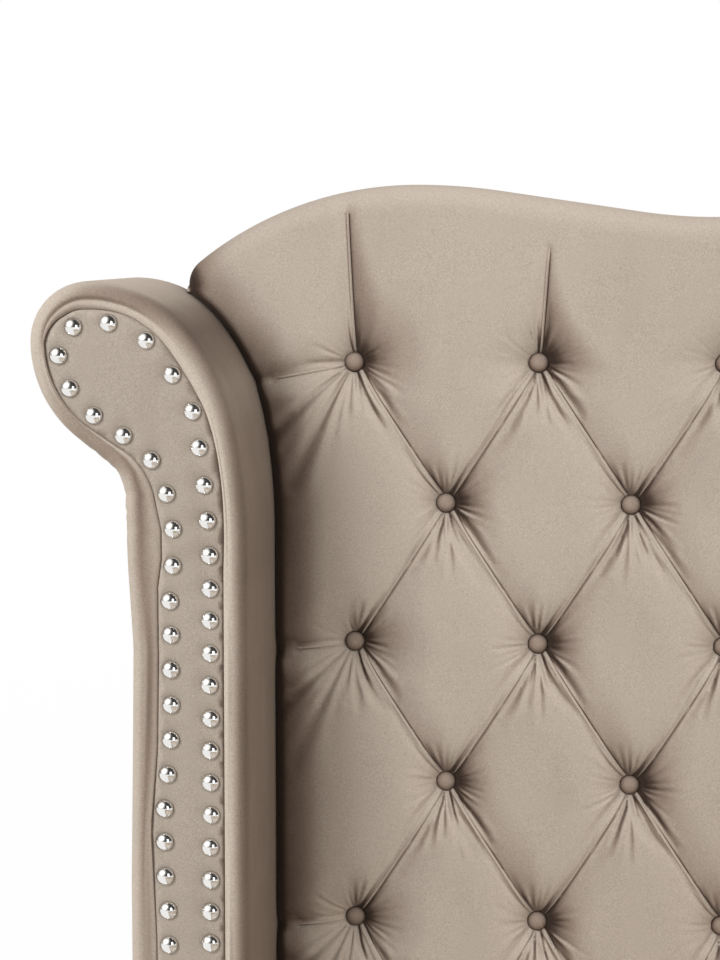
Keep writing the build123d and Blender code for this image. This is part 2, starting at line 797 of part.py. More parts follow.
tape_x = tape_share * rail_inner_x
with BuildPart() as slat_tapes:
    with BuildSketch(level(slat_top_z)):
        with Locations(*[(side * tape_x, (first_slat_y + last_slat_y) / 2) for side in (-1, 1)]):
            Rectangle(tape_width, first_slat_y - last_slat_y + slat_width - 2 * slat_edge)
    extrude(amount=tape_t)
slat_tapes.part.label = "slat_tapes"
export_step(slat_tapes.part, "parts/slat_tapes.step")

# Centre rail in its two steel hangers
rail_cheek_x = centre_rail_width / 2 + seat_gap
centre_head_y = apron_front_y - hanger_t - seat_gap
centre_foot_y = foot_inner_y + hanger_t + seat_gap
hanger_bottom_z = centre_rail_bottom_z - hanger_t
for name, face_y, out in (
    ("centre_rail_hanger_head", apron_front_y, 1),
    ("centre_rail_hanger_foot", foot_inner_y, -1),
):
    with BuildPart() as hanger:
        with BuildSketch(facing(face_y)):
            with Locations((0, hanger_bottom_z)):
                Rectangle(
                    2 * (rail_cheek_x + hanger_t + hanger_ear),
                    hanger_height,
                    align=(Align.CENTER, Align.MIN),
                )
        extrude(amount=out * hanger_t)
        with BuildSketch(facing(face_y)):
            with Locations((0, hanger_bottom_z)):
                Rectangle(
                    2 * (rail_cheek_x + hanger_t), hanger_height, align=(Align.CENTER, Align.MIN)
                )
            with Locations((0, centre_rail_bottom_z)):
                Rectangle(
                    2 * rail_cheek_x,
                    hanger_height,
                    align=(Align.CENTER, Align.MIN),
                    mode=Mode.SUBTRACT,
                )
        extrude(amount=out * (hanger_t + hanger_depth))
    hanger.part.label = name
    export_step(hanger.part, f"parts/{name}.step")

with BuildPart() as centre_rail:
    with BuildSketch(facing(centre_head_y)):
        with Locations((0, centre_rail_bottom_z)):
            Rectangle(
                centre_rail_width, centre_rail_height, align=(Align.CENTER, Align.MIN)
            )
    extrude(amount=centre_head_y - centre_foot_y)
    chamfer(centre_rail.edges().filter_by(Axis.Y).group_by(Axis.Z)[0], slat_edge)
centre_rail.part.label = "centre_rail"
export_step(centre_rail.part, "parts/centre_rail.step")

# Centre legs: a square leg, a threaded insert in its end, and a screw foot that levels it
leg_length = centre_rail_bottom_z - leg_clear
for number, share in enumerate(centre_leg_shares, start=1):
    leg_y = centre_head_y + (centre_foot_y - centre_head_y) * share
    with BuildPart() as centre_leg:
        with BuildSketch(level(leg_clear)):
            with Locations((0, leg_y)):
                square = Rectangle(leg_width, leg_width)
            chamfer(square.vertices(), leg_edge)
        extrude(amount=leg_length)
        with BuildSketch(level(leg_clear)):
            with Locations((0, leg_y)):
                bored(stem_r + stem_gap, Mode.ADD)
        extrude(amount=stem_hole_depth, mode=Mode.SUBTRACT)
        with BuildSketch(level(leg_clear)):
            with Locations((0, leg_y)):
                bored(insert_r, Mode.ADD)
        extrude(amount=insert_length, mode=Mode.SUBTRACT)
    centre_leg.part.label = f"centre_leg_{number}"
    export_step(centre_leg.part, f"parts/centre_leg_{number}.step")

    with BuildPart() as leg_insert:
        with BuildSketch(level(leg_clear)):
            with Locations((0, leg_y)):
                bored(insert_r, Mode.ADD)
                bored(stem_r + stem_gap)
        extrude(amount=insert_length)
    leg_insert.part.label = f"leg_insert_{number}"
    export_step(leg_insert.part, f"parts/leg_insert_{number}.step")

    with BuildPart() as leveller_screw:
        with BuildSketch(level(screw_pad_height)):
            with Locations((0, leg_y)):
                bored(stem_r, Mode.ADD)
        extrude(amount=stem_length)
        with BuildSketch(level(screw_pad_height)):
            with Locations((0, leg_y)):
                RegularPolygon(nut_r, 6)
        extrude(amount=nut_t)
    leveller_screw.part.label = f"leveller_screw_{number}"
    export_step(leveller_screw.part, f"parts/leveller_screw_{number}.step")

    with BuildPart() as leveller_pad:
        with BuildSketch():
            with Locations((0, leg_y)):
                RegularPolygon(screw_pad_r, screw_pad_sides)
        extrude(amount=screw_pad_height)
    leveller_pad.part.label = f"leveller_pad_{number}"
    export_step(leveller_pad.part, f"parts/leveller_pad_{number}.step")

# Corner brackets: folded steel angles that hold the rails to the headboard and the footboard
with BuildPart() as corner_bracket_head_right:
    with BuildSketch(level(bracket_bottom_z)):
        with BuildLine():
            Polyline(
                (rail_inner_x, apron_front_y),
                (rail_inner_x - bracket_leg, apron_front_y),
                (rail_inner_x - bracket_leg, apron_front_y - bracket_t),
                (rail_inner_x - bracket_t, apron_front_y - bracket_t),
                (rail_inner_x - bracket_t, apron_front_y - bracket_leg),
                (rail_inner_x, apron_front_y - bracket_leg),
                close=True,
            )
        angle = make_face()
        corners = angle.vertices().sort_by_distance((rail_inner_x, apron_front_y))
        fillet(corners[0], bracket_bend_r)
        fillet(corners[1], bracket_bend_r - bracket_t)
    extrude(amount=bracket_height)
    with BuildSketch(facing(apron_front_y)):
        with Locations((bracket_bolt_x, bracket_z)):
            bored(bolt_r + bolt_gap, Mode.ADD)
    extrude(amount=bracket_t, mode=Mode.SUBTRACT)
    with BuildSketch(rail_side):
        with Locations((head_bolt_y, bracket_z)):
            bored(bolt_r + bolt_gap, Mode.ADD)
    extrude(amount=-bracket_t, mode=Mode.SUBTRACT)
corner_bracket_head_right.part.label = "corner_bracket_head_right"
export_step(corner_bracket_head_right.part, "parts/corner_bracket_head_right.step")

deck_middle = Plane.XZ.offset(-(apron_front_y + foot_inner_y) / 2)
for name, planes in (
    ("corner_bracket_head_left", (Plane.YZ,)),
    ("corner_bracket_foot_right", (deck_middle,)),
    ("corner_bracket_foot_left", (deck_middle, Plane.YZ)),
):
    bracket = corner_bracket_head_right.part
    for plane in planes:
        bracket = bracket.mirror(plane)
    with BuildPart() as corner_bracket:
        add(bracket)
    corner_bracket.part.label = name
    export_step(corner_bracket.part, f"parts/{name}.step")

bracket_bolt = bolt(bolt_length)
face_places = [(side * bracket_bolt_x, bracket_z, 0) for side in (-1, 1)]
with BuildPart() as bracket_bolts:
    for y, turn in ((apron_front_y - bracket_t, 90), (foot_inner_y + bracket_t, -90)):
        with Locations(*[Location((x, y, z), (turn, 0, 0)) for x, z, _ in face_places]):
            add(bracket_bolt)
    for side in (-1, 1):
        head_x = side * (rail_inner_x - bracket_t)
        with Locations(*[Location((head_x, y, z), (0, -side * 90, 0)) for y, z in rail_bolt_places]):
            add(bracket_bolt)
bracket_bolts.part.label = "bracket_bolts"
export_step(bracket_bolts.part, "parts/bracket_bolts.step")
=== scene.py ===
"""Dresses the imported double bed: velvet, buttons, nails, timber, steel, light and camera."""

import json
import math

import bmesh
import bpy
import numpy as np
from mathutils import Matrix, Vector
from mathutils.geometry import delaunay_2d_cdt


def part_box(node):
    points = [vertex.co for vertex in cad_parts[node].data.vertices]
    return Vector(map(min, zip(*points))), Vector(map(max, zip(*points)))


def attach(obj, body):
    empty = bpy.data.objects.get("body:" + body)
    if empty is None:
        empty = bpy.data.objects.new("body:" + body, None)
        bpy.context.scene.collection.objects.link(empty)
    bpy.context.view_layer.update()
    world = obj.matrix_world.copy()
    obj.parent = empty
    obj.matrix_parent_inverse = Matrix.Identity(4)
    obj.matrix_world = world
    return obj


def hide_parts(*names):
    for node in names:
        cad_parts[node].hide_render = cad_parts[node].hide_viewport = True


bl_info = {
    "name": "Tufted Double Bed",
    "version": (1, 0, 0),
    "blender": (4, 5, 0),
    "location": "View3D > Sidebar > Bed",
    "description": "Upholsters the packed bed frame and lights it",
    "category": "Object",
}

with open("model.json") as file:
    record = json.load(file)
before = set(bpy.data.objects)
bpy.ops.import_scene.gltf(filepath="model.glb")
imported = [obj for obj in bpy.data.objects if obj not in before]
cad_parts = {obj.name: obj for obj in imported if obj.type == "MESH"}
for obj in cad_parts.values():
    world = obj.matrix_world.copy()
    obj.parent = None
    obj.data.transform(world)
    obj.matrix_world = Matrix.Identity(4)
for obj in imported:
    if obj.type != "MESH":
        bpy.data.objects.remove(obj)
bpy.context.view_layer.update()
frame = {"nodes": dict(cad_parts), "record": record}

MM = 0.001
SEED = 7
SIDES = ((-1, "left"), (1, "right"))

# Heights and depths that the frame gives
pad_low, pad_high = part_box("headboard_pad")
cover_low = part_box("wing_cover_right")[0]
facing_low, facing_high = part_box("wing_facing_right")
rail_low, rail_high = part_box("side_rail_cover_right")

WING_X = cover_low.x
HEAD_HALF = pad_high.x
HEAD_TOP = pad_high.z
PAD_FRONT = pad_low.y
PAD_BACK = pad_high.y
WING_FRONT = cover_low.y
FLOOR_GAP = cover_low.z


# Outlines, as (x, z) --------------------------------------------------------------------------


def trace(start, heading, moves):
    """Points along lines and arcs; each move is (kind, length or radius, degrees, points)."""
    points = [np.array(start, float)]
    turn = math.radians(heading)
    for kind, size, degrees, count in moves:
        here = points[-1]
        if kind == "line":
            ahead = np.array((math.cos(turn), math.sin(turn)))
            points += [here + ahead * size * (i + 1) / count for i in range(count)]
            continue
        side = 1 if degrees > 0 else -1
        across = np.array((-math.sin(turn), math.cos(turn))) * side
        centre = here + across * size
        for i in range(count):
            now = turn + math.radians(degrees) * (i + 1) / count
            across = np.array((-math.sin(now), math.cos(now))) * side
            points.append(centre - across * size)
        turn += math.radians(degrees)
    return points


def top_outline(inset):
    """The headboard's top line, from its middle down to the start of its right side."""
    swoop, fall = 8.5, 38.5
    crest, dip, inner, outer, corner = (r * MM for r in (894, 581, 655, 399, 34.2))
    s, f = math.radians(swoop), math.radians(fall)
    reach = (crest + 2 * dip + inner) * math.sin(s)
    outer_reach = outer * math.sin(f) + corner * (1 - math.sin(f))
    run = (HEAD_HALF - reach - outer_reach) / math.cos(s)
    crest_z = HEAD_TOP + (crest - inner) * (1 - math.cos(s)) - run * math.sin(s)
    moves = [
        ("arc", crest - inset, -swoop, 16),
        ("arc", dip + inset, 2 * swoop, 20),
        ("line", run, 0, 8),
        ("arc", inner - inset, -swoop, 12),
        ("arc", outer - inset, -fall, 34),
        ("arc", corner - inset, fall - 90, 8),
    ]
    return trace((0, crest_z - inset), 0, moves)


# The wing's thickness, the radii of its arcs, and how far some of them turn in degrees
WING_T = 121 * MM
TIP, SHOULDER, SWEEP, LONG, UNDER, NECK = (r * MM for r in (63.5, 133, 251, 651, 128, 51))
SHOULDER_TURN, SWEEP_TURN, LONG_TURN, NECK_TURN = 52, 27, 11, 52
TOP_DROP, BULGE, TAPER = 105.4 * MM, 6.5 * MM, 160 * MM


def wing_outline(inset, foot_z, step=6 * MM):
    """The right wing's outline, from its inner foot over the scroll to its outer foot."""
    a, b = math.radians(LONG_TURN), math.radians(LONG_TURN + SWEEP_TURN)
    neck = math.radians(90 - NECK_TURN)
    reach = LONG * (1 - math.cos(a)) + SWEEP * (math.cos(a) - math.cos(b)) + SHOULDER * math.cos(b)
    climb = LONG * math.sin(a) + SWEEP * (math.sin(b) - math.sin(a)) + SHOULDER * (1 - math.sin(b))
    run_reach = reach + TIP - (UNDER + NECK) * (1 - math.sin(neck)) - WING_T - BULGE
    straight_top = HEAD_TOP - TOP_DROP - climb
    straight_count = max(3, round(straight_top / step / 3))

    def arc(radius, sized, degrees):
        return ("arc", sized, degrees, max(3, round(radius * abs(math.radians(degrees)) / step)))

    run = run_reach / math.cos(neck)
    moves = [
        ("line", straight_top - foot_z, 0, straight_count),
        arc(LONG, LONG - inset, -LONG_TURN),
        arc(SWEEP, SWEEP - inset, -SWEEP_TURN),
        arc(SHOULDER, SHOULDER - inset, -SHOULDER_TURN),
        arc(TIP, TIP - inset, -90),
        arc(UNDER, UNDER - inset, -NECK_TURN),
        ("line", run, 0, max(2, round(run / step))),
        arc(NECK, NECK + inset, NECK_TURN),
    ]
    points = trace((WING_X + inset, foot_z), 90, moves)
    throat = points[-1]
    outer_x = WING_X + WING_T - inset
    taper_end = np.array((outer_x, throat[1] - TAPER))
    foot = np.array((outer_x, foot_z))
    for a, b, count in (
        (throat, taper_end, round(TAPER / step)),
        (taper_end, foot, straight_count),
    ):
        points += [a + (b - a) * (i + 1) / count for i in range(count)]
    return points


# Node trees and finishes ----------------------------------------------------------------------


class Value:
    """A socket that takes part in sums: each operator adds the node that works it out."""

    def __init__(self, tree, socket):
        self.tree = tree
        self.socket = socket

    def maths(self, operation, *values, clamp=False):
        settings = {"operation": operation, "use_clamp": clamp}
        return self.tree.add("ShaderNodeMath", settings, dict(enumerate(values)))

    def __add__(self, other):
        return self.maths("ADD", self, other)

    def __radd__(self, other):
        return self.maths("ADD", other, self)

    def __sub__(self, other):
        return self.maths("SUBTRACT", self, other)

    def __rsub__(self, other):
        return self.maths("SUBTRACT", other, self)

    def __mul__(self, other):
        return self.maths("MULTIPLY", self, other)

    def __rmul__(self, other):
        return self.maths("MULTIPLY", other, self)

    def __truediv__(self, other):
        return self.maths("DIVIDE", self, other)

    def __rtruediv__(self, other):
        return self.maths("DIVIDE", other, self)

    def clamped(self):
        return self.maths("ADD", self, 0.0, clamp=True)

    def wave(self):
        return self.maths("SINE", self)


class Tree:
    """A node tree that is built by plain calls."""

    def __init__(self, tree):
        self.nodes = tree.nodes
        self.links = tree.links

    def add(self, kind, settings=None, inputs=None, out=0):
        """A node of this kind: its settings, then the values or links of its sockets."""
        node = self.nodes.new(kind)
        for label, value in (settings or {}).items():
            if label == "stops":
                self.lay_stops(node.color_ramp, value)
            else:
                setattr(node, label, value)
        for label, value in (inputs or {}).items():
            self.feed(node.inputs[label], value)
        return Value(self, node.outputs[out]) if node.outputs else node

    def feed(self, socket, value):
        """Links a value to a socket, or sets it."""
        if isinstance(value, Value):
            self.links.new(value.socket, socket)
        else:
            socket.default_value = value

    def lay_stops(self, ramp, stops):
        while len(ramp.elements) < len(stops):
            ramp.elements.new(0.5)
        for element, (place, colour) in zip(ramp.elements, stops):
            element.position = place
            element.color = (*colour[:3], 1)

    def ray(self, kind):
        """One for this kind of ray and nought for any other."""
        return self.add("ShaderNodeLightPath", out=f"Is {kind} Ray")

    def blend(self, factor, first, second):
        """Two shaders mixed."""
        return self.add("ShaderNodeMixShader", None, {0: factor, 1: first, 2: second})


class Finish(Tree):
    """A material with one Principled shader."""

    def __init__(self, name, **constants):
        self.material = bpy.data.materials.new(name)
        self.material.use_nodes = True
        super().__init__(self.material.node_tree)
        self.shader = self.nodes["Principled BSDF"]
        for label, value in constants.items():
            self.set(label.replace("_", " "), value)

    def set(self, label, value):
        """Feeds one socket of the shader."""
        self.feed(self.shader.inputs[label], value)

    def place(self, scale=(1, 1, 1)):
        """The point on the piece, stretched by a scale."""
        where = self.add("ShaderNodeTexCoord", out="Object")
        return self.add("ShaderNodeMapping", None, {"Vector": where, "Scale": scale})

    def noise(self, vector, scale, detail=2.0, rough=0.5, warp=0.0):
        labels = ("Vector", "Scale", "Detail", "Roughness", "Distortion")
        inputs = dict(zip(labels, (vector, scale, detail, rough, warp)))
        return self.add("ShaderNodeTexNoise", None, inputs)

    def mix(self, factor, low, high, blend="MIX"):
        settings = {"data_type": "RGBA", "blend_type": blend}
        inputs = {"Factor": factor, 6: low, 7: high}
        return self.add("ShaderNodeMix", settings, inputs, out=2)

    def bump(self, height, strength, distance):
        inputs = {"Height": height, "Strength": strength, "Distance": distance}
        self.set("Normal", self.add("ShaderNodeBump", None, inputs))


def shade(colour, level):
    """A colour made lighter or darker, with its alpha kept."""
    return (*(min(1.0, c * level) for c in colour[:3]), 1)


def warm(colour, level, depth):
    """A darker tone of a colour that turns browner with depth, for painted shade."""
    red, green, blue = (c * level for c in colour[:3])
    return (red, green * (1 - 0.18 * depth), blue * (1 - 0.25 * depth))


def velvet(name, colour, painted_light_way=(0.70, 0.0, 0.30), rest=0.60, painted_light_attribute=None):
    """Short-pile velvet with painted light: dark, warm shade facing away from a given way, pale
    highlight facing it.
    """
    f = Finish(name, Roughness=0.9, Sheen_Weight=0.22, Sheen_Roughness=0.45)
    f.set("Sheen Tint", shade(colour, 1.4))
    f.set("Specular IOR Level", 0.1)
    where = f.place()
    # Painted shade and highlight: the tone follows how far the surface faces the given way
    facing = f.add("ShaderNodeNewGeometry", out="Normal")
    dot = {"operation": "DOT_PRODUCT"}
    lean = f.add("ShaderNodeVectorMath", dot, {0: facing, 1: painted_light_way}, out="Value")
    brushed = f.noise(where, 4.5, 3.0, 0.55, 0.6)
    streaks = f.noise(f.place((26, 26, 7)), 1.0, 4.0, 0.6)
    pile = f.noise(where, 950, 2.0, 0.7)
    fleck = f.noise(where, 330, 2.0, 0.6)
    level = lean + rest + (brushed - 0.5) * 0.12 + (streaks - 0.5) * 0.08
    # A named attribute of painted shade and highlight, if given, is added to that tone
    if painted_light_attribute:
        level = level + f.add("ShaderNodeAttribute", {"attribute_name": painted_light_attribute}, out="Fac")
    # The low stops are painted shade, darker and browner; the high stops are painted highlight
    stops = [
        (0.0, warm(colour, 0.08, 1.3)),
        (0.15, warm(colour, 0.17, 1.2)),
        (0.38, warm(colour, 0.56, 0.55)),
        (0.60, colour),
        (0.80, shade(colour, 1.14)),
        (1.0, shade(colour, 1.24)),
    ]
    tone = f.add("ShaderNodeValToRGB", {"stops": stops}, {0: level.clamped()})
    speck = ((pile - 0.5) * 2.6 + (fleck - 0.5) * 0.5 + 0.5).clamped()
    light = f.mix(speck, (0.0, 0.0, 0.0, 1), (1.0, 1.0, 1.0, 1))
    f.set("Base Color", f.mix(0.2, tone, light, "OVERLAY"))
    f.bump(pile * 0.6 + fleck * 0.4, 0.5, 0.0009)
    return f.material


def timber(name, colour, grain_axis, scale=1.0, gloss=0.55):
    """Planed wood: long grain lines along one axis, pores and a slow colour drift."""
    f = Finish(name, Roughness=gloss)
    stretch = [14.0 * scale] * 3
    stretch[grain_axis] = 0.9 * scale
    along = f.place(tuple(stretch))
    drift = f.noise(along, 1.2, 4.0, 0.6, 0.8)
    lines = f.noise(along, 7.0, 5.0, 0.65, 0.25)
    pores = f.noise(along, 60.0, 2.0, 0.5)
    rings = (drift * 38.0).wave() * 0.5 + 0.5
    tone = f.mix((rings * 0.5 + lines * 0.5).clamped(), shade(colour, 0.72), shade(colour, 1.15))
    f.set("Base Color", f.mix((pores * 0.35).clamped(), tone, shade(colour, 0.6)))
    f.set("Roughness", (lines * 0.25 + (gloss - 0.1)).clamped())
    f.bump(lines * 0.6 + pores * 0.4, 0.25, 0.0008)
    return f.material


def plain_steel(name, colour, roughness):
    """Zinc plate: pale spangle, faint scratches and a soft gloss."""
    f = Finish(name, Metallic=1.0)
    where = f.place()
    spangle = f.add("ShaderNodeTexVoronoi", None, {"Vector": where, "Scale": 220.0}, out="Color")
    scratch = f.noise(f.place((4, 90, 90)), 14.0, 3.0, 0.6)
    f.set("Base Color", f.mix(0.12, (*colour[:3], 1), spangle, "OVERLAY"))
    f.set("Roughness", (scratch * 0.22 + roughness).clamped())
    f.bump(scratch, 0.12, 0.0003)
    return f.material


def polished(name, colour):
    """Polished nickel: mirror gloss with hairline scratches and a trace of dulling."""
    f = Finish(name, Metallic=1.0)
    where = f.place()
    dull = f.noise(where, 140.0, 3.0, 0.6)
    hair = f.noise(where, 1400.0, 2.0, 0.5)
    f.set("Base Color", f.mix((dull * 0.3).clamped(), (*colour[:3], 1), shade(colour, 0.86)))
    f.set("Roughness", (dull * 0.10 + 0.10).clamped())
    f.bump(hair, 0.03, 0.0002)
    return f.material


def moulded(name, colour):
    """Moulded black plastic with a fine spark-eroded grain."""
    f = Finish(name, Roughness=0.5)
    where = f.place()
    grain = f.noise(where, 700.0, 2.0, 0.5)
    scuff = f.noise(where, 45.0, 4.0, 0.6)
    f.set("Base Color", f.mix((scuff * 0.4).clamped(), (*colour[:3], 1), shade(colour, 2.2)))
    f.set("Roughness", (scuff * 0.3 + 0.38).clamped())
    f.bump(grain, 0.3, 0.0003)
    return f.material


def woven(name, colour):
    """Flat webbing: crossed threads and a loose edge tone."""
    f = Finish(name, Roughness=0.85)
    fine = f.place((1600, 1600, 1600))
    x, y = (f.add("ShaderNodeSeparateXYZ", None, {0: fine}, out=axis) for axis in "XY")
    threads = x.wave() * y.wave() * 0.5 + 0.5
    soil = f.noise(f.place(), 30.0, 3.0, 0.6)
    tone = f.mix(threads.clamped(), shade(colour, 0.7), (*colour[:3], 1))
    f.set("Base Color", f.mix((soil * 0.3).clamped(), tone, shade(colour, 0.8)))
    f.bump(threads, 0.4, 0.0005)
    return f.material


# Meshes ---------------------------------------------------------------------------------------


def shown(name, data):
    """A new object in the scene."""
    thing = bpy.data.objects.new(name, data)
    bpy.context.scene.collection.objects.link(thing)
    return thing


def new_piece(name, vertices, faces, material, body="bed", smooth=True):
    """One finished mesh at the origin, with its material and body."""
    mesh = bpy.data.meshes.new(name)
    mesh.from_pydata([tuple(v) for v in vertices], [], faces)
    mesh.update()
    mesh.materials.append(material)
    mesh.polygons.foreach_set("use_smooth", [smooth] * len(mesh.polygons))
    piece = shown(name, mesh)
    turn_outwards(piece)
    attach(piece, body)
    return piece


def lay_painted_light(piece, lean):
    """Painted shade and highlight at each vertex, added to the velvet's tone."""
    pile = piece.data.attributes.new("pile_lean", "FLOAT", "POINT")
    pile.data.foreach_set("value", np.asarray(lean).ravel().astype(np.float32))


def turn_outwards(piece, open_rims=False):
    """Doubled points are merged and open rims filled if asked; all faces then point outwards."""
    work = bmesh.new()
    work.from_mesh(piece.data)
    if open_rims:
        bmesh.ops.remove_doubles(work, verts=work.verts, dist=1e-6)
        rims = [e for e in work.edges if e.is_boundary]
        bmesh.ops.holes_fill(work, edges=rims, sides=0)
    bmesh.ops.recalc_face_normals(work, faces=work.faces)
    work.to_mesh(piece.data)
    work.free()


def distance_to_path(points, path):
    """Each point's distance to a polyline, both as arrays of (x, z)."""
    best = np.full(len(points), 1e9)
    for a, b in zip(path[:-1], path[1:]):
        ab = b - a
        length = float(ab @ ab)
        if length < 1e-14:
            continue
        t = np.clip(((points - a) @ ab) / length, 0, 1)
        gap = points - a - t[:, None] * ab
        best = np.minimum(best, np.einsum("ij,ij->i", gap, gap))
    return np.sqrt(best)


def inside(points, ring):
    """Which of the points lie in a closed ring."""
    x, z = points[:, 0], points[:, 1]
    hit = np.zeros(len(points), bool)
    for a, b in zip(ring, np.roll(ring, -1, axis=0)):
        span = b[1] - a[1]
        if abs(span) < 1e-12:
            continue
        crosses = (a[1] > z) != (b[1] > z)
        hit ^= crosses & (x < (b[0] - a[0]) * (z - a[1]) / span + a[0])
    return hit


def sheet_mesh(ring, seeds, relief, back_y, rim_steps):
    """A closed pad: a face inside the ring, pushed back by relief, with sides and a back."""
    count = len(ring)
    flat = [Vector(p) for p in ring] + [Vector(p) for p in seeds]
    loop = list(range(count))
    places, _, triangles, origins, _, _ = delaunay_2d_cdt(flat, [], [loop], 1, 1e-7, True)
    triangles = [list(t) for t in triangles]
    spots = np.array([tuple(p) for p in places])
    depth = relief(spots)
    vertices = [(x, y, z) for (x, z), y in zip(spots, depth)]
    edge = {}
    for new, old in enumerate(origins):
        for index in old:
            if index < count:
                edge[index] = new
    around = [edge[i] for i in range(count)]
    corners = spots[np.array(triangles)]
    kept = inside(corners.mean(1), ring)
    faces = [tuple(t) for t, keep in zip(triangles, kept) if keep]
    previous = around
    for step in range(1, rim_steps + 1):
        share = step / rim_steps
        fresh = []
        for index in around:
            x, y, z = vertices[index]
            fresh.append(len(vertices))
            vertices.append((x, y + (back_y - y) * share, z))
        for i in range(count):
            j = (i + 1) % count
            faces.append((previous[i], previous[j], fresh[j], fresh[i]))
        previous = fresh
    faces += [tuple(previous[i] for i in t) for t in flat_cap(ring)]
    return vertices, faces


def flat_cap(ring):
    """Triangles that fill a closed ring, as places in it; a hollow outline stays hollow."""
    loop = list(range(len(ring)))
    flat = [Vector((p[0], p[1])) for p in ring]
    _, _, triangles, origins, _, _ = delaunay_2d_cdt(flat, [], [loop], 1, 1e-7, True)
    first = np.array([old[0] for old in origins])
    faces = first[np.array(triangles)]
    kept = inside(np.asarray(ring)[faces].mean(1), np.asarray(ring))
    return [tuple(t) for t in faces[kept].tolist()]


def swept(loops, whole_ends=False):
    """Faces between like loops of points, and both ends shut, with one face each if whole."""
    levels, count, _ = loops.shape
    faces = []
    for level in range(levels - 1):
        a, b = level * count, (level + 1) * count
        faces += [(a + i, a + (i + 1) % count, b + (i + 1) % count, b + i) for i in range(count)]
    for level in (0, levels - 1):
        cap = [range(count)] if whole_ends else flat_cap(loops[level][:, (0, 2)])
        faces += [tuple(level * count + i for i in face) for face in cap]
    return loops.reshape(-1, 3), faces


def circles(centres, radii, degrees):
    """Points on circles round every centre, one radius after another."""
    turn = np.radians(np.arange(0, 360, degrees))
    circle = np.stack([np.cos(turn), np.sin(turn)], -1)
    rounds = [(centres[:, None] + circle[None] * r * MM).reshape(-1, 2) for r in radii]
    return np.concatenate([centres, *rounds])


def inner_rows(ring, insets):
    """Rows of points inside a ring, each at its own inset and clear of the ring's other parts."""
    ahead = np.roll(ring, -1, axis=0) - np.roll(ring, 1, axis=0)
    ahead /= np.linalg.norm(ahead, axis=1)[:, None]
    inward = np.stack([-ahead[:, 1], ahead[:, 0]], 1)
    closed = np.vstack([ring, ring[:1]])
    rows = []
    for inset in insets:
        row = ring + inward * inset
        row = row[inside(row, ring)]
        rows.append(row[distance_to_path(row, closed) > inset * 0.93])
    return rows


def bell(x, middle, width, power=2.0):
    """One at the middle and falling off smoothly on both sides."""
    return np.exp(-(np.abs((x - middle) / width) ** power))


def rolled(gap, roll):
    """How deep a quarter-round edge lies at a distance from its rim, nought past the roll."""
    gap = np.clip(gap, 0, roll)
    return roll - np.sqrt(np.maximum(roll**2 - (roll - gap) ** 2, 0))


# Tufting --------------------------------------------------------------------------------------

# The buttons' pitch, rows and depth, and how far the pad presses into the wings' covers
PITCH = 209 * MM
ROW = 160 * MM
ROWS = 6
FIRST_ROW = HEAD_TOP - 201 * MM
BUTTON_SINK = 27 * MM
PRESS = 0.3 * MM

# The deepest of the bowl that a button pulls and of the valley that a pleat pulls, and the
# pad's rolled edges
BOWL, VALLEY = 12.5 * MM, 16 * MM
TOP_ROLL, FOOT_ROLL, WING_SIDE_ROLL = 26 * MM, 16 * MM, 11 * MM

# Half the strip of mesh points along a pleat, the fan of points round a button, and how far
# from their button its folds are looked for
PLEAT_RUN = 9.5 * MM
FAN_START = 12.0 * MM
FAN_REACH = 80 * MM
FOLD_REACH = 170 * MM


def button_grid():
    """Rows of button centres, from the top row down."""
    rows = []
    for row in range(ROWS):
        count = 7 - row % 2
        first = -(count - 1) / 2 * PITCH
        rows.append([(first + i * PITCH, FIRST_ROW - row * ROW) for i in range(count)])
    return rows


def pleat_lines(rows):
    """Every pleat as (start, end, depth at its far end); diagonals end at a button."""
    step = PITCH / 2
    pleats = []
    for upper, lower in zip(rows[:-1], rows[1:]):
        reach = lower[-1][0] + 1 * MM
        for x, z in upper:
            for side in (-1, 1):
                if abs(x + side * step) < reach:
                    pleats.append(((x, z), (x + side * step, z - ROW), 1.0))
    long_top, short_top = HEAD_TOP - 13 * MM, HEAD_TOP - 72 * MM
    for i, (x, z) in enumerate(rows[0]):
        outer = 1 if x > 0 else -1
        if i in (0, len(rows[0]) - 1):
            pleats.append(((x, z), (x + 8 * MM * outer, long_top), 0.14))
        else:
            pleats.append(((x, z), (x - 10 * MM * outer, short_top), 0.1))
    for x, z in rows[-1]:
        pleats.append(((x, z), (x, pad_low.z - 5 * MM), 0.5))
    under_wing = WING_X + 20 * MM
    for row in rows[::2]:
        drop = 21 * MM if row is rows[0] else 11 * MM
        for side in (-1, 1):
            x, z = side * abs(row[0][0]), row[0][1]
            pleats.append(((x, z), (side * under_wing, z - drop), 0.6))
    return pleats


def pleat_axes(start, end):
    """Where a pleat starts, the way it runs, the side its fold lies to, and its length."""
    a, b = np.array(start), np.array(end)
    length = math.dist(a, b)
    way = (b - a) / length
    side = np.array((-way[1], way[0]))
    if side[0] < -0.35 or (abs(side[0]) <= 0.35 and side[1] > 0):
        side = -side
    return a, way, side, length


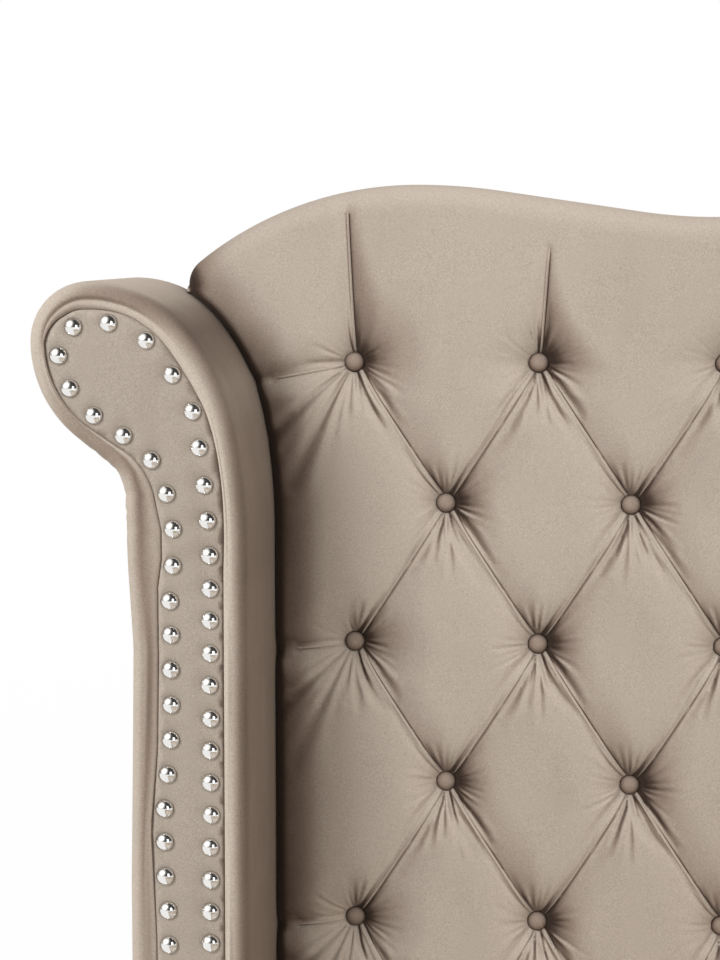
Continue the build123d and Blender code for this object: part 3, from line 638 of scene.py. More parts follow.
def gathers(centre, ways, rng):
    """Small folds that fan out of one button: (angle, bend, length, depth, start and end width)."""
    folds = []

    def fold(angle, bend, length, depth, wide):
        folds.append((angle, bend, length * MM, depth * MM, 1.2 * MM, wide * MM))

    for way in (w for w in ways if -170 < w < -10 and abs(w + 90) >= 8):
        inward = 1 if way < -90 else -1
        for side, bend, least, wide, places in (
            (inward, 0.55, 0.8, 5.0, ((11, 104, 2.6), (18.5, 84, 3.4), (27, 52, 2.6))),
            (-inward, 0.5, 0.7, 4.4, ((10, 92, 2.6), (17, 62, 2.6), (25, 44, 1.8))),
        ):
            for place, length, depth in places:
                turn = side * (place + rng.uniform(-1.6, 1.6))
                length *= rng.uniform(0.75, 1.15)
                fold(way + turn, -turn * bend, length, depth * rng.uniform(least, 1.2), wide)
    for k in range(5):
        angle = -90 + (k - 2) * 7.5 + rng.uniform(-2.0, 2.0)
        fold(angle, rng.uniform(-5, 5), rng.uniform(34, 80), rng.uniform(2.0, 3.4), 3.8)
    for side, sense in ((0, 1), (180, -1)):
        for k in range(9):
            angle = side + (-30 + k * 8.2 + rng.uniform(-2.8, 2.8)) * sense
            fold(angle, rng.uniform(-6, 6), rng.uniform(24, 58), rng.uniform(0.6, 1.5), 2.8)
    wing_pleats = [w for w in ways if abs(w) > 160 or abs(w) < 20]
    if wing_pleats:
        out = -1 if abs(wing_pleats[0]) > 90 else 1
        folds[:] = [f for f in folds if not 12 < out * ((f[0] + 270) % 360 - 180) < 80]
        pull = 1.0 if centre[1] > FIRST_ROW - 1 * MM else 0.5
        for place, length, depth, wide in (
            (24, 70, 1.6, 3),
            (39, 142, 5.6, 9),
            (49, 84, 1.4, 4),
            (60, 156, 5.2, 10),
            (73, 100, 2.6, 5),
        ):
            angle = -90 + out * (90 - place) + rng.uniform(-1, 1)
            fold(angle, -4 * out, length, depth * pull, wide)
    for way in (w for w in ways if 20 < w < 160):
        for place, length in ((9, 80), (-10, 64)):
            turn = place + rng.uniform(-1.5, 1.5)
            length *= rng.uniform(0.7, 1.2)
            fold(way + turn, -turn * 0.5, length, rng.uniform(1.0, 2.2), 3.8)
    for k in range(3):
        angle = 90 + (k - 1) * 14 + rng.uniform(-3, 3)
        fold(angle, rng.uniform(-5, 5), rng.uniform(24, 56), rng.uniform(0.7, 1.5), 3.0)
    return folds


def pad_ring():
    """The pad's closed outline: foot edge, up round the wing, over the top and back down."""
    step, closest = 4 * MM, 1.2 * MM
    foot = [(x, pad_low.z) for x in np.linspace(-WING_X, WING_X, round(2 * WING_X / step))]
    wing = wing_outline(-PRESS, pad_low.z, step)
    crest = int(np.argmax([p[1] for p in wing]))
    wing = [p for p in wing[: crest + 1] if p[0] < HEAD_HALF]
    top = top_outline(0)[::-1]
    side = [(HEAD_HALF, z) for z in np.linspace(wing[-1][1], top[0][1], 9)[:-1]]
    right = [tuple(p) for p in wing[1:]] + side + [tuple(p) for p in top]
    left = [(-x, z) for x, z in right[::-1][1:]]
    points = foot + right + left
    ring = [points[0]]
    for p in points[1:]:
        if math.dist(p, ring[-1]) > closest:
            ring.append(p)
    if math.dist(ring[0], ring[-1]) < closest:
        ring.pop()
    return np.array(ring)


def ways_from(centre, pleats):
    """The directions, in degrees, of the pleats that meet at a button."""
    ways = []
    for start, end, _ in pleats:
        for here, there in ((start, end), (end, start)):
            if math.dist(here, centre) < 1 * MM:
                ways.append(math.degrees(math.atan2(there[1] - here[1], there[0] - here[0])))
    return ways


def pleat_gap(points, pleats):
    """Each point's distance to the nearest pleat."""
    best = np.full(len(points), 1.0)
    for start, end, _ in pleats:
        a, way, _, length = pleat_axes(start, end)
        local = points - a
        along = np.clip(local @ way, 0, length)
        gap = local - along[:, None] * way
        best = np.minimum(best, np.hypot(gap[:, 0], gap[:, 1]))
    return best


def fans(pleats, centres):
    """Fine rays of points round every button, finest below it, where the folds fall."""
    radii = [FAN_START]
    while radii[-1] < FAN_REACH - 2 * MM:
        radii.append(radii[-1] + (1.5 + 2.1 * min(1, (radii[-1] / MM - 12) / 45)) * MM)
    radii = np.array(radii)
    near, wide = radii[radii < 50 * MM], radii[radii >= 50 * MM]
    fine = np.radians(np.concatenate([np.arange(-158, -22, 2.3), np.arange(-20, 200, 3.4)]))
    points = []
    for rays, reach in ((fine, near), (fine[fine < 0], wide), (fine[fine >= 0][::2], wide)):
        spokes = reach[:, None, None] * np.stack([np.cos(rays), np.sin(rays)], -1)[None]
        points.append((centres[:, None, None] + spokes[None]).reshape(-1, 2))
    points = np.concatenate(points)
    return points[pleat_gap(points, pleats) > PLEAT_RUN]


def strips(pleats, centres):
    """Rows of points along every pleat, closest together at its fold."""
    across = np.array(
        (-9, -7, -5.4, -4.2, -3.0, -1.8, -0.6, 0.5, 1.4, 2.1, 2.7, 3.2, 3.7, 4.4, 5.4, 6.8, 8.8)
    ) * MM
    points = []
    for start, end, far in pleats:
        a, way, side, length = pleat_axes(start, end)
        stop = length - FAN_START if far == 1 else length + 9 * MM
        line = a + np.arange(FAN_START, stop, 3.6 * MM)[:, None, None] * way
        points.append((line + across[None, :, None] * side).reshape(-1, 2))
    points = np.concatenate(points)
    return points[np.linalg.norm(points[:, None] - centres[None], axis=2).min(1) > 11.5 * MM]


def pad_seeds(pleats, ring, centres):
    """Points for the pad's face: fans, strips, the buttons' beds, the edge, and a grid between."""
    low, high = ring.min(0), ring.max(0)
    pace = 6.0 * MM
    gx, gz = np.meshgrid(np.arange(low[0], high[0], pace), np.arange(low[1], high[1], pace * 0.87))
    gx[1::2] += pace / 2
    grid = np.stack([gx.ravel(), gz.ravel()], 1)
    grid = grid[np.linalg.norm(grid[:, None] - centres[None], axis=2).min(1) > FAN_REACH]
    grid = grid[pleat_gap(grid, pleats) > PLEAT_RUN + 2 * MM]
    beds = circles(centres, (4, 8, 10.5), 15)
    points = np.concatenate([fans(pleats, centres), strips(pleats, centres), grid, beds])
    points = points[inside(points, ring)]
    points = points[distance_to_path(points, np.vstack([ring, ring[:1]])) > 25 * MM]
    insets = np.array((0.8, 2.4, 5.0, 8.5, 12.5, 17.0, 22.0)) * MM
    everything = np.concatenate([points, *inner_rows(ring, insets)])
    keys = np.round(everything / (0.5 * MM)).astype(int)
    _, first = np.unique(keys, axis=0, return_index=True)
    return everything[np.sort(first)]


def pleat_shape(spots, pleats):
    """The wide valleys that the pleats pull into the foam, and the sharp fold along each."""
    valley = np.zeros(len(spots))
    fold = np.zeros(len(spots))
    for start, end, far in pleats:
        a, way, side, length = pleat_axes(start, end)
        near = np.abs(spots - (a + way * length / 2)).max(1) < length / 2 + 90 * MM
        local = spots[near] - a
        along = local @ way
        across = (local @ side) / MM
        t = np.clip(along / length, 0, 1)
        over = np.abs(along - t * length) / MM
        if far == 1:
            ends = np.abs(2 * t - 1) ** 2.6
            body = 0.26 + 0.74 * ends
            width = 50 + 14 * ends
            line = (0.50 + 0.32 * ends) * (1.4 if side[1] < 0 else 0.85)
        else:
            ends = (1 - t) ** 1.5
            body = far + (1 - far) * ends
            width = (20 + 42 * ends) * (0.5 + body)
            line = np.clip((1 - t) / 0.15, 0, 1) ** 0.7 * 0.55 if far < 0.2 else 0.7
        dist = np.hypot(across, over)
        soft = np.clip(1 - dist / width, 0, 1) ** 2
        valley[near] = np.maximum(valley[near], VALLEY * body * soft)
        edge = 1.3 * bell(across, -4.2, 2.6) - 0.9 * bell(across, 1.3, 1.2)
        edge += 3.2 * bell(across, 3.2, 0.85, 1.5)
        fold[near] += edge * line * bell(over, 0, 3.0) * MM
    return valley, fold


def aside(turn, way, wide):
    """How near a direction is to another one, both in degrees: 1 on it and nought well off it."""
    return bell((turn - way + 180) % 360 - 180, 0, wide)


class TuftedFace:
    """The pad's face: its depth at any place, and the shade and highlight painted there."""

    def __init__(self, pleats, centres, rng):
        tops = np.array(top_outline(0))
        tops = np.vstack([(tops * (-1, 1))[::-1], tops[1:]])
        foot = np.array([(-WING_X, pad_low.z), (WING_X, pad_low.z)])
        wing = wing_outline(-PRESS, pad_low.z)
        wing = np.array([p for p in wing if p[0] <= HEAD_HALF + 1 * MM])
        self.wings = [wing, wing * (-1, 1)]
        self.edges = [(tops, TOP_ROLL), (foot, FOOT_ROLL)]
        self.edges += [(wing, WING_SIDE_ROLL) for wing in self.wings]
        self.pleats = pleats
        self.centres = centres
        self.folds = [gathers(c, ways_from(c, pleats), rng) for c in centres]
        self.lean = None

    def wrinkles(self, spots, gaps):
        """How deep the gathers of all buttons press the cloth at each spot."""
        wrinkle = np.zeros(len(spots))
        for number, centre in enumerate(self.centres):
            near = np.flatnonzero(gaps[:, number] < FOLD_REACH)
            local = spots[near] - centre
            turn = np.degrees(np.arctan2(local[:, 1], local[:, 0]))
            away = gaps[near, number] / MM
            total = np.zeros(len(near))
            for angle, bend, length, depth, start, wide in self.folds[number]:
                t = np.clip((away - 10) / (length / MM), 0, 1)
                off = (turn - angle - bend * t + 180) % 360 - 180
                thick = start / MM + (wide - start) / MM * t
                u = np.abs(np.radians(off) * away) / thick
                env = np.clip((away - 9.5) / 5, 0, 1) * (1 - t) ** 0.6
                total += 0.85 * depth * env * (np.exp(-(u**1.35)) - 0.42 * bell(u, 2.0, 0.9))
            wrinkle[near] += total
        return wrinkle

    def depth(self, spots):
        """Where the cloth lies at each spot, as y; the painted shade and highlight are kept with
        it.
        """
        valley, fold = pleat_shape(spots, self.pleats)
        gaps = np.linalg.norm(spots[:, None] - self.centres[None], axis=2)
        radius = gaps.min(1) / MM
        local = spots - self.centres[gaps.argmin(1)]
        turn = np.degrees(np.arctan2(local[:, 1], local[:, 0]))
        # Painted shade close to each button, most on its right, less on its left and above it
        off = np.maximum(radius - 10, 0)
        lean = -0.24 * aside(turn, 12, 75) * np.exp(-((off / 12) ** 1.5))
        lean -= 0.10 * aside(turn, 180, 60) * np.exp(-((off / 6) ** 1.5))
        lean -= 0.10 * aside(turn, 90, 38) * np.exp(-((off / 36) ** 1.6))
        # Bowls, valleys and folds, with a flat seat under each button
        bowl = BOWL * np.exp(-((np.maximum(radius - 9, 0) / 14.5) ** 1.1))
        wrinkle = self.wrinkles(spots, gaps)
        fade = np.clip((radius - 10) / 5, 0, 1)
        depth = valley + bowl + np.clip(fold, -2.2 * MM, 5.5 * MM) * fade
        depth += np.clip(wrinkle, -1.8 * MM, 4.5 * MM)
        depth = np.where(radius < 11.2, np.maximum(depth, BUTTON_SINK), depth)
        # A slow swell in the foam, the rolled edges, and the sink and painted shadow beside the
        # wings
        swell = np.sin(spots[:, 0] * 23 + 2 * np.sin(spots[:, 1] * 7))
        swell = 1.0 * MM * swell * np.sin(spots[:, 1] * 19 + 1.5 * np.sin(spots[:, 0] * 5))
        depth = np.maximum(depth + swell + 1.5 * MM, 0)
        for path, roll in self.edges:
            depth += rolled(distance_to_path(spots, path), roll)
        for path in self.wings:
            gap = distance_to_path(spots, path) / MM
            depth += 5 * MM * np.exp(-((gap / 38) ** 1.3))
            # Painted shadow beside each wing, weaker towards the top, with a painted highlight
            # further out
            wing_shadow = 0.40 * np.exp(-((gap / 27) ** 1.3)) + 0.14 * bell(gap, 30, 22)
            high = np.clip((spots[:, 1] - HEAD_TOP + 350 * MM) / (200 * MM), 0, 1)
            lean += 0.07 * bell(gap, 88, 42) - wing_shadow * (1 - 0.55 * high)
        # Painted shade in the creases of the gathers
        self.lean = lean - 0.036 * np.clip(wrinkle / MM, -1.5, 4.5)
        return PAD_FRONT + np.minimum(depth, PAD_BACK - PAD_FRONT - 3 * MM)


def make_tufting(colour):
    """The tufted pad of the headboard."""
    rng = np.random.default_rng(SEED)
    rows = button_grid()
    centres = np.array([c for row in rows for c in row])
    pleats = pleat_lines(rows)
    ring = pad_ring()
    face = TuftedFace(pleats, centres, rng)
    seeds = pad_seeds(pleats, ring, centres)
    vertices, faces = sheet_mesh(ring, seeds, face.depth, PAD_BACK, 4)
    # The pad's velvet takes its painted shade and highlight from the face
    cloth = velvet("velvet_pad", colour, painted_light_attribute="pile_lean")
    pad = new_piece("tufted_pad", vertices, faces, cloth)
    lay_painted_light(pad, np.concatenate([face.lean, np.zeros(len(vertices) - len(face.lean))]))
    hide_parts("headboard_pad")
    return pad


# Repeated pieces by geometry nodes ------------------------------------------------------------


class Growth(Tree):
    """A geometry-nodes tree with named inputs."""

    def __init__(self, name, sizes):
        self.group = bpy.data.node_groups.new(name, "GeometryNodeTree")
        super().__init__(self.group)
        face = self.group.interface
        face.new_socket("Geometry", in_out="INPUT", socket_type="NodeSocketGeometry")
        face.new_socket("Geometry", in_out="OUTPUT", socket_type="NodeSocketGeometry")
        self.sizes = {}
        for label, (kind, value) in sizes.items():
            socket = face.new_socket(label, in_out="INPUT", socket_type=kind)
            socket.default_value = value
            self.sizes[socket.identifier] = value

    def given(self, label):
        """One of the tree's own inputs."""
        return self.add("NodeGroupInput", out=label)

    def finish(self, geometry, material):
        """The tree's end, in real geometry with its material."""
        real = self.add("GeometryNodeRealizeInstances", None, {"Geometry": geometry})
        done = {"Geometry": real, "Material": material}
        self.add("NodeGroupOutput", None, {0: self.add("GeometryNodeSetMaterial", None, done)})
        return self


def dome_tree(name, material, radius, rise, segments, rings, puckers):
    """Domes on points: a sphere's front half, flattened, and puckered as cloth if asked."""
    sizes = {
        "Radius": ("NodeSocketFloat", radius),
        "Rise": ("NodeSocketFloat", rise),
        "Pucker": ("NodeSocketFloat", puckers),
        "Seed": ("NodeSocketInt", SEED),
    }
    tree = Growth(name, sizes)
    add = tree.add
    count = {"Segments": segments, "Rings": rings, "Radius": 1.0}
    ball = add("GeometryNodeMeshUVSphere", None, count)
    upright = {"Geometry": ball, "Rotation": (math.radians(90), 0, 0)}
    spun = add("GeometryNodeTransform", None, upright)
    back = add("ShaderNodeSeparateXYZ", None, {0: add("GeometryNodeInputPosition")}, out="Y")
    past = {"data_type": "FLOAT", "operation": "GREATER_THAN"}
    behind = add("FunctionNodeCompare", past, {0: back, 1: 0.16})
    half = {"Geometry": spun, "Selection": behind}
    cup = add("GeometryNodeDeleteGeometry", {"domain": "POINT"}, half)
    wide, tall = tree.given("Radius"), tree.given("Rise")
    size = add("ShaderNodeCombineXYZ", None, {0: wide, 1: tall, 2: wide})
    sized = add("GeometryNodeTransform", None, {"Geometry": cup, "Scale": size})
    places = {"Points": tree.given("Geometry"), "Instance": sized}
    domes = add("GeometryNodeInstanceOnPoints", None, places)
    real = add("GeometryNodeRealizeInstances", None, {"Geometry": domes})
    grain = {"W": tree.given("Seed"), "Scale": 160.0, "Detail": 2.0}
    rough = add("ShaderNodeTexNoise", {"noise_dimensions": "4D"}, grain, out="Color")
    centred = add("ShaderNodeVectorMath", {"operation": "SUBTRACT"}, {0: rough, 1: (0.5,) * 3})
    strength = {0: centred, "Scale": tree.given("Pucker")}
    push = add("ShaderNodeVectorMath", {"operation": "SCALE"}, strength)
    moved = add("GeometryNodeSetPosition", None, {"Geometry": real, "Offset": push})
    smooth = add("GeometryNodeSetShadeSmooth", None, {"Geometry": moved})
    return tree.finish(smooth, material)


def grown(name, points, growth, body):
    """A plain mesh of what a tree grows on a set of points."""
    seed_mesh = bpy.data.meshes.new(name + "_points")
    seed_mesh.from_pydata([tuple(p) for p in points], [], [])
    seeded = shown(name + "_points", seed_mesh)
    modifier = seeded.modifiers.new("grow", "NODES")
    modifier.node_group = growth.group
    for identifier, value in growth.sizes.items():
        modifier[identifier] = value
    bpy.context.view_layer.update()
    graph = bpy.context.evaluated_depsgraph_get()
    mesh = bpy.data.meshes.new_from_object(seeded.evaluated_get(graph))
    mesh.name = name
    bpy.data.objects.remove(seeded)
    piece = shown(name, mesh)
    turn_outwards(piece, open_rims=True)
    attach(piece, body)
    return piece


# Wings ----------------------------------------------------------------------------------------

NAIL_COUNT = 75
NAILS_TO_TIP = 39
WING_ROLL = 17 * MM
WING_NOSE = 18 * MM

# How deep the front band lies across its width: (share of the width, millimetres)
BAND_SINK = (
    (0.12, -0.1), (0.28, 0.0), (0.44, 0.3), (0.58, 0.8), (0.70, 1.3), (0.81, 1.9), (0.91, 2.6),
    (0.985, 3.5), (1.0, 11.0),
)


def wing_stations(step=6 * MM):
    """The wing's outline, its outward way and its run at each point, and its named stations."""
    base = np.array(wing_outline(0, FLOOR_GAP, step))
    inner = np.array(wing_outline(1 * MM, FLOOR_GAP, step))
    outward = (base - inner) / (1 * MM)
    outward[[0, -1]] = [(-1, 0), (1, 0)]
    run = np.concatenate([[0], np.cumsum(np.linalg.norm(np.diff(base, axis=0), axis=1))])
    crest, tip_out = run[base[:, 1].argmax()], run[base[:, 0].argmax()]
    under_end = tip_out + UNDER * math.radians(NECK_TURN)
    off_throat = np.abs(base[:, 0] - (WING_X + WING_T + BULGE)) + (run < under_end) * 9
    throat = run[off_throat.argmin()]
    bow = SHOULDER * math.radians(SHOULDER_TURN) + SWEEP * math.radians(SWEEP_TURN)
    ends = {
        "foot": 0.0,
        "swell_start": crest - bow - LONG * math.radians(LONG_TURN),
        "bow_start": crest - bow,
        "crest": crest,
        "tip_out": tip_out,
        "under_end": under_end,
        "neck_start": throat - NECK * math.radians(NECK_TURN),
        "throat": throat,
        "end": run[-1],
    }
    return base, outward, run, ends


def along_wing(run, ends, values):
    """A width along the outline, from its value at each named station, eased between them."""
    places = [ends[name] + offset * MM for name, offset, _ in values]
    return np.interp(run, places, [v * MM for _, _, v in values])


# Along the wing: (station, millimetres past it, size in millimetres)
BAND_WIDTHS = (
    ("foot", 0, 23.4), ("crest", -385, 23), ("crest", -300, 20.5), ("crest", -260, 20.3),
    ("crest", -212, 22.2), ("crest", -185, 24.7), ("crest", -155, 27), ("crest", -60, 27),
    ("crest", 0, 29.5), ("crest", 45, 27.5), ("tip_out", 0, 18.6), ("under_end", 0, 18),
    ("neck_start", 0, 21), ("throat", 0, 33), ("throat", 30, 38), ("throat", 60, 37),
    ("throat", 90, 31.5), ("throat", 150, 29), ("throat", 260, 27.5), ("throat", 345, 20),
    ("throat", 460, 25), ("end", 0, 27),
)
NAIL_OFFSETS = (
    ("foot", 0, 14.7), ("crest", -385, 15.1), ("crest", -300, 18.7), ("crest", -260, 18.7),
    ("crest", -215, 12.9), ("crest", -160, 11.6), ("crest", -60, 12.5), ("crest", 0, 14),
    ("tip_out", 0, 14), ("neck_start", 0, 14), ("throat", 40, 12.5), ("throat", 100, 13),
    ("end", 0, 13),
)
NAIL_GAPS = (
    ("foot", 0, 36), ("swell_start", 0, 36), ("bow_start", 20, 40), ("crest", -95, 47),
    ("crest", -30, 39), ("crest", 20, 38.5), ("tip_out", 0, 37), ("throat", 0, 38.5),
    ("throat", 80, 37), ("end", 0, 36),
)
SIDE_PUFF = (
    ("foot", 0, 0), ("under_end", 0, 0), ("neck_start", 0, 0.5), ("throat", 0, 2.5),
    ("throat", 70, 3.0), ("throat", 150, 0.8), ("throat", 260, 3.0), ("throat", 400, 6.0),
    ("end", -300, 5.5), ("end", 0, 1.5),
)


def wing_levels():
    """The rings of a wing's cover, from back to front: (inset, share of the front band, y)."""
    front, back = WING_FRONT, PAD_BACK
    levels = [(8 * MM, 0, back), (2.5 * MM, 0, back - 3.5 * MM)]
    levels += [(0, 0, y) for y in np.linspace(back - 12 * MM, front + 26 * MM, 15)]
    for angle in range(12, 91, 13):
        a = math.radians(angle)
        levels.append((WING_ROLL * (1 - math.cos(a)), 0, front + WING_NOSE * (1 - math.sin(a))))
    levels += [(WING_ROLL, share, front + sink * MM + 0.5 * MM) for share, sink in BAND_SINK]
    return levels


def wing_creases(run, throat, depth, share, rng):
    """Faint drags along a wing's cover and short pinches in its throat, as a push outwards."""
    front, back = WING_FRONT, PAD_BACK
    push = np.zeros(depth.shape)
    for _ in range(34):
        at, wide = rng.uniform(0.0, 1.0) * run[-1], rng.uniform(70, 300) * MM
        line, thick = rng.uniform(front + 26 * MM, back - 12 * MM), rng.uniform(3.5, 9) * MM
        tilt = rng.uniform(-0.03, 0.03)
        drag = bell(run, at, wide)[None] * bell(depth - line - tilt * (run - at)[None], 0, thick)
        push += drag * rng.uniform(-1.1, 0.9) * MM
    for k in range(13):
        at = throat + (k - 8) * 7.5 * MM + rng.uniform(-2, 2) * MM
        wide = rng.uniform(1.8, 3.4) * MM
        lean = rng.uniform(-0.25, 0.25) * (depth - front)
        pinch = bell(run[None] - at - lean, 0, wide) * bell(depth, front + 4 * MM, 22 * MM)
        push -= pinch * (rng.uniform(0.5, 1.5) * MM * np.clip(1.2 - share, 0, 1))
    return push


def wing_painted_light(run, crest, depth, share):
    """Painted shade and highlight on a wing's cover: on its band, its roll and its wall."""
    past = (run - crest)[None] / MM
    into = (depth - WING_FRONT) / MM
    outer, inner = np.clip(past / 200, 0, 1), np.clip(-past / 60, 0, 1)
    nose = np.clip((40 - into) / 34, 0, 1) * bell(share, 0.1, 0.4)
    # Painted shade and highlight over the outer band and wall, the inner band, the inner wall and
    # behind the roll
    lean = outer * (0.05 * bell(share, 0.8, 0.25) - 0.20 * nose)
    lean -= 0.10 * outer * np.clip((into - 6) / 34, 0, 1)
    brow = 0.10 * bell(share, 0.4, 0.5) * np.clip(1 - into / 9, 0, 1)
    lean += inner * (brow - 0.04 * bell(share, 1.0, 0.2))
    wall = np.interp(-past, (45, 95, 125, 190, 300), (0.08, -0.16, -0.18, 0.12, 0.18))
    lean += wall * np.clip((into - 4) / 14, 0, 1)
    lean -= 0.36 * bell(into, 5, 11) * bell(past, -32, 98) * np.clip(1 - share / 0.3, 0, 1)
    return lean


def wing_cover(side, material):
    """One wing's padded cover, closed at its back, its foot and behind the facing."""
    rng = np.random.default_rng(SEED + 11)
    base, outward, run, ends = wing_stations()
    band = along_wing(run, ends, BAND_WIDTHS)
    puff = along_wing(run, ends, SIDE_PUFF)
    sunk = np.clip((band - WING_ROLL) / (11 * MM), 0.15, 1)
    levels = wing_levels()
    loops = []
    for inset, share, y in levels:
        width = inset + (band - WING_ROLL) * share
        full = np.clip((y - WING_FRONT) / (40 * MM), 0, 1)
        puffed = puff * (1 - 0.75 * full) * (1 - share)
        spot = base - outward * width[:, None] + outward * puffed[:, None]
        deep = WING_FRONT + (y - WING_FRONT) * (sunk if 0 < share < 1 else np.ones(len(base)))
        loops.append(np.column_stack([spot[:, 0], deep, spot[:, 1]]))
    loops = np.array(loops)
    depth = loops[:, :, 1].copy()
    share = np.array([s for _, s, _ in levels])[:, None]
    push = wing_creases(run, ends["throat"], depth, share, rng)
    sway = np.sin(run / (83 * MM) + 0.6)[None] * np.sin(share * 5 + run[None] / (140 * MM))
    loops[:, :, 1] += 0.9 * MM * sway * (share > 0) * np.clip(1 - share, 0, 1)
    loops[:, :, 0] += push * outward[None, :, 0]
    loops[:, :, 2] += push * outward[None, :, 1]
    loops[:, (0, -1), 2] = FLOOR_GAP
    loops[-3:, (0, -1), 2] += 1.5 * MM
    loops[:, :, 0] *= side
    vertices, faces = swept(loops)
    piece = new_piece(f"wing_padding_{dict(SIDES)[side]}", vertices, faces, material)
    # Painted shade and highlight on the cover
    lay_painted_light(piece, wing_painted_light(run, ends["crest"], depth, share))
    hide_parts("wing_cover_left" if side < 0 else "wing_cover_right")
    return piece


def nail_places(side):
    """Nail centres along the facing's edge, as (x, z), a little wider apart over the scroll."""
    base, outward, run, ends = wing_stations(2 * MM)
    inset = along_wing(run, ends, BAND_WIDTHS) + along_wing(run, ends, NAIL_OFFSETS)
    line = base - outward * inset[:, None]
    gaps = along_wing(run, ends, NAIL_GAPS)
    pace = np.linalg.norm(np.diff(line, axis=0), axis=1) / ((gaps[1:] + gaps[:-1]) / 2)
    low_end, tip, high_start = (
        int(np.argmin(np.abs(run - place)))
        for place in (ends["swell_start"], ends["tip_out"] + 19 * MM, ends["throat"] + 80 * MM)
    )
    before = NAILS_TO_TIP + 0.5 - pace[low_end:tip].sum()
    after = NAIL_COUNT - NAILS_TO_TIP - 0.5 - pace[tip:high_start].sum()
    pace[:low_end] *= before / pace[:low_end].sum()
    pace[high_start:] *= after / pace[high_start:].sum()
    numbers = np.concatenate([[0], np.cumsum(pace)])
    at = np.arange(NAIL_COUNT) + 0.5
    x, z = np.interp(at, numbers, line[:, 0]), np.interp(at, numbers, line[:, 1])
    rng = np.random.default_rng(SEED + 5)
    wander = rng.uniform(-0.8, 0.8, (NAIL_COUNT, 2)) * MM
    return np.stack([x * side, z], 1) + wander


def wing_facing(side, material):
    """The flat front of one wing: a thin padded panel that each nail pulls in a little."""
    nails = nail_places(side)
    base, outward, run, ends = wing_stations(5 * MM)
    inset = along_wing(run, ends, BAND_WIDTHS) + 0.2 * MM
    ring = (base - outward * inset[:, None]) * (side, 1)
    if side < 0:
        ring = ring[::-1]
    closed = np.vstack([ring, ring[:1]])
    step = 6 * MM
    rows = [np.arange(low, high, step) for low, high in zip(ring.min(0), ring.max(0))]
    grid = np.stack(np.meshgrid(*rows), -1).reshape(-1, 2)
    grid = grid[inside(grid, ring)]
    grid = grid[distance_to_path(grid, closed) > step]
    grid = grid[np.linalg.norm(grid[:, None] - nails[None], axis=2).min(1) > 18 * MM]
    rounds = circles(nails, (5, 8.5, 10.5, 12.5, 15), 20)
    rounds = rounds[inside(rounds, ring)]
    rounds = rounds[distance_to_path(rounds, closed) > 1.6 * MM]
    keys = np.round(rounds / (1.1 * MM))
    rounds = rounds[np.sort(np.unique(keys, axis=0, return_index=True)[1])]

    def relief(spots):
        curl = rolled(distance_to_path(spots, closed), 1.2 * MM)
        gap = np.linalg.norm(spots[:, None] - nails[None], axis=2)
        pull = (1.5 * MM * np.exp(-((gap / (13 * MM)) ** 2))).sum(1)
        crown = 0.5 * MM * np.sin(spots[:, 1] * 31) * np.sin(spots[:, 0] * 40)
        return facing_low.y + curl + np.minimum(pull, 2.4 * MM) + 0.5 * MM + crown

    seeds = np.concatenate([grid, rounds])
    vertices, faces = sheet_mesh(ring, seeds, relief, facing_high.y, 1)
    piece = new_piece(f"wing_front_{dict(SIDES)[side]}", vertices, faces, material)
    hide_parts("wing_facing_left" if side < 0 else "wing_facing_right")
    return piece


# Covered rails, footboard, border, apron and tapes --------------------------------------------


def round_rect(low, high, radii, count=6):
    """A rectangle's outline with its own radius at each corner, from the lower right upwards."""
    corners = (
        ((high[0], low[1]), -90, radii[0]), ((high[0], high[1]), 0, radii[1]),
        ((low[0], high[1]), 90, radii[2]), ((low[0], low[1]), 180, radii[3]),
    )
    points = []
    for (x, y), start, radius in corners:
        cx = x - radius if x == high[0] else x + radius
        cy = y - radius if y == high[1] else y + radius
        for k in range(count + 1):
            a = math.radians(start + 90 * k / count)
            points.append((cx + radius * math.cos(a), cy + radius * math.sin(a)))
    return np.array(points)


def spread(ring, step):
    """A ring with extra points on its long runs."""
    points = []
    for a, b in zip(ring, np.roll(ring, -1, axis=0)):
        parts = max(1, round(math.dist(a, b) / step))
        points += [a + (b - a) * i / parts for i in range(parts)]
    return np.array(points)


def rail_cover(side, material):
    """One side rail's padded cover: a long soft box with rolled edges and a sewn foot line."""
    rng = np.random.default_rng(SEED + 23)
    low, high = rail_low, rail_high
    radii = (9 * MM, 15 * MM, 8 * MM, 5 * MM)
    section = spread(round_rect((low.x, low.z), (high.x, high.z), radii), 14 * MM)
    middle = section.mean(0)
    half_z = (high.z - low.z) / 2
    between = np.arange(low.y + 4 * MM, high.y - 4 * MM, 14 * MM)
    stations = [low.y, low.y + 1 * MM, *between, high.y - 1 * MM, high.y]
    waves = [
        (rng.uniform(0.1, 0.5), rng.uniform(0, 6), rng.uniform(3, 9), rng.uniform(8, 30))
        for _ in range(7)
    ]
    loops = []
    for y in stations:
        ring = section.copy()
        height = (ring[:, 1] - middle[1]) / half_z
        outer = ring[:, 0] > middle[0]
        crown = 1.8 * MM * (1 - height**4) * np.where(outer, 1, 0.15)
        for size, phase, fast, tall in waves:
            wave = np.sin(y * fast + phase) * np.cos(ring[:, 1] * tall + phase)
            crown += size * MM * wave * outer
        crown -= 1.6 * MM * bell(ring[:, 1], low.z + 26 * MM, 2.4 * MM) * outer
        ring[:, 0] += crown * np.where(outer, 1, -1)
        ring[:, 0] -= np.where(outer, 1.2 * MM, 0)
        to_end = min(y - low.y, high.y - y)
        pull = 1 - max(0.0, 1 - to_end / (4 * MM)) * 0.035
        ring = middle + (ring - middle) * (pull, 1 - (1 - pull) * 0.4)
        loops.append(np.column_stack([ring[:, 0] * side, np.full(len(ring), y), ring[:, 1]]))
    vertices, faces = swept(np.array(loops))
    end = dict(SIDES)[side]
    piece = new_piece(f"rail_padding_{end}", vertices, faces, material)
    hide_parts(f"side_rail_cover_{end}")
    return piece


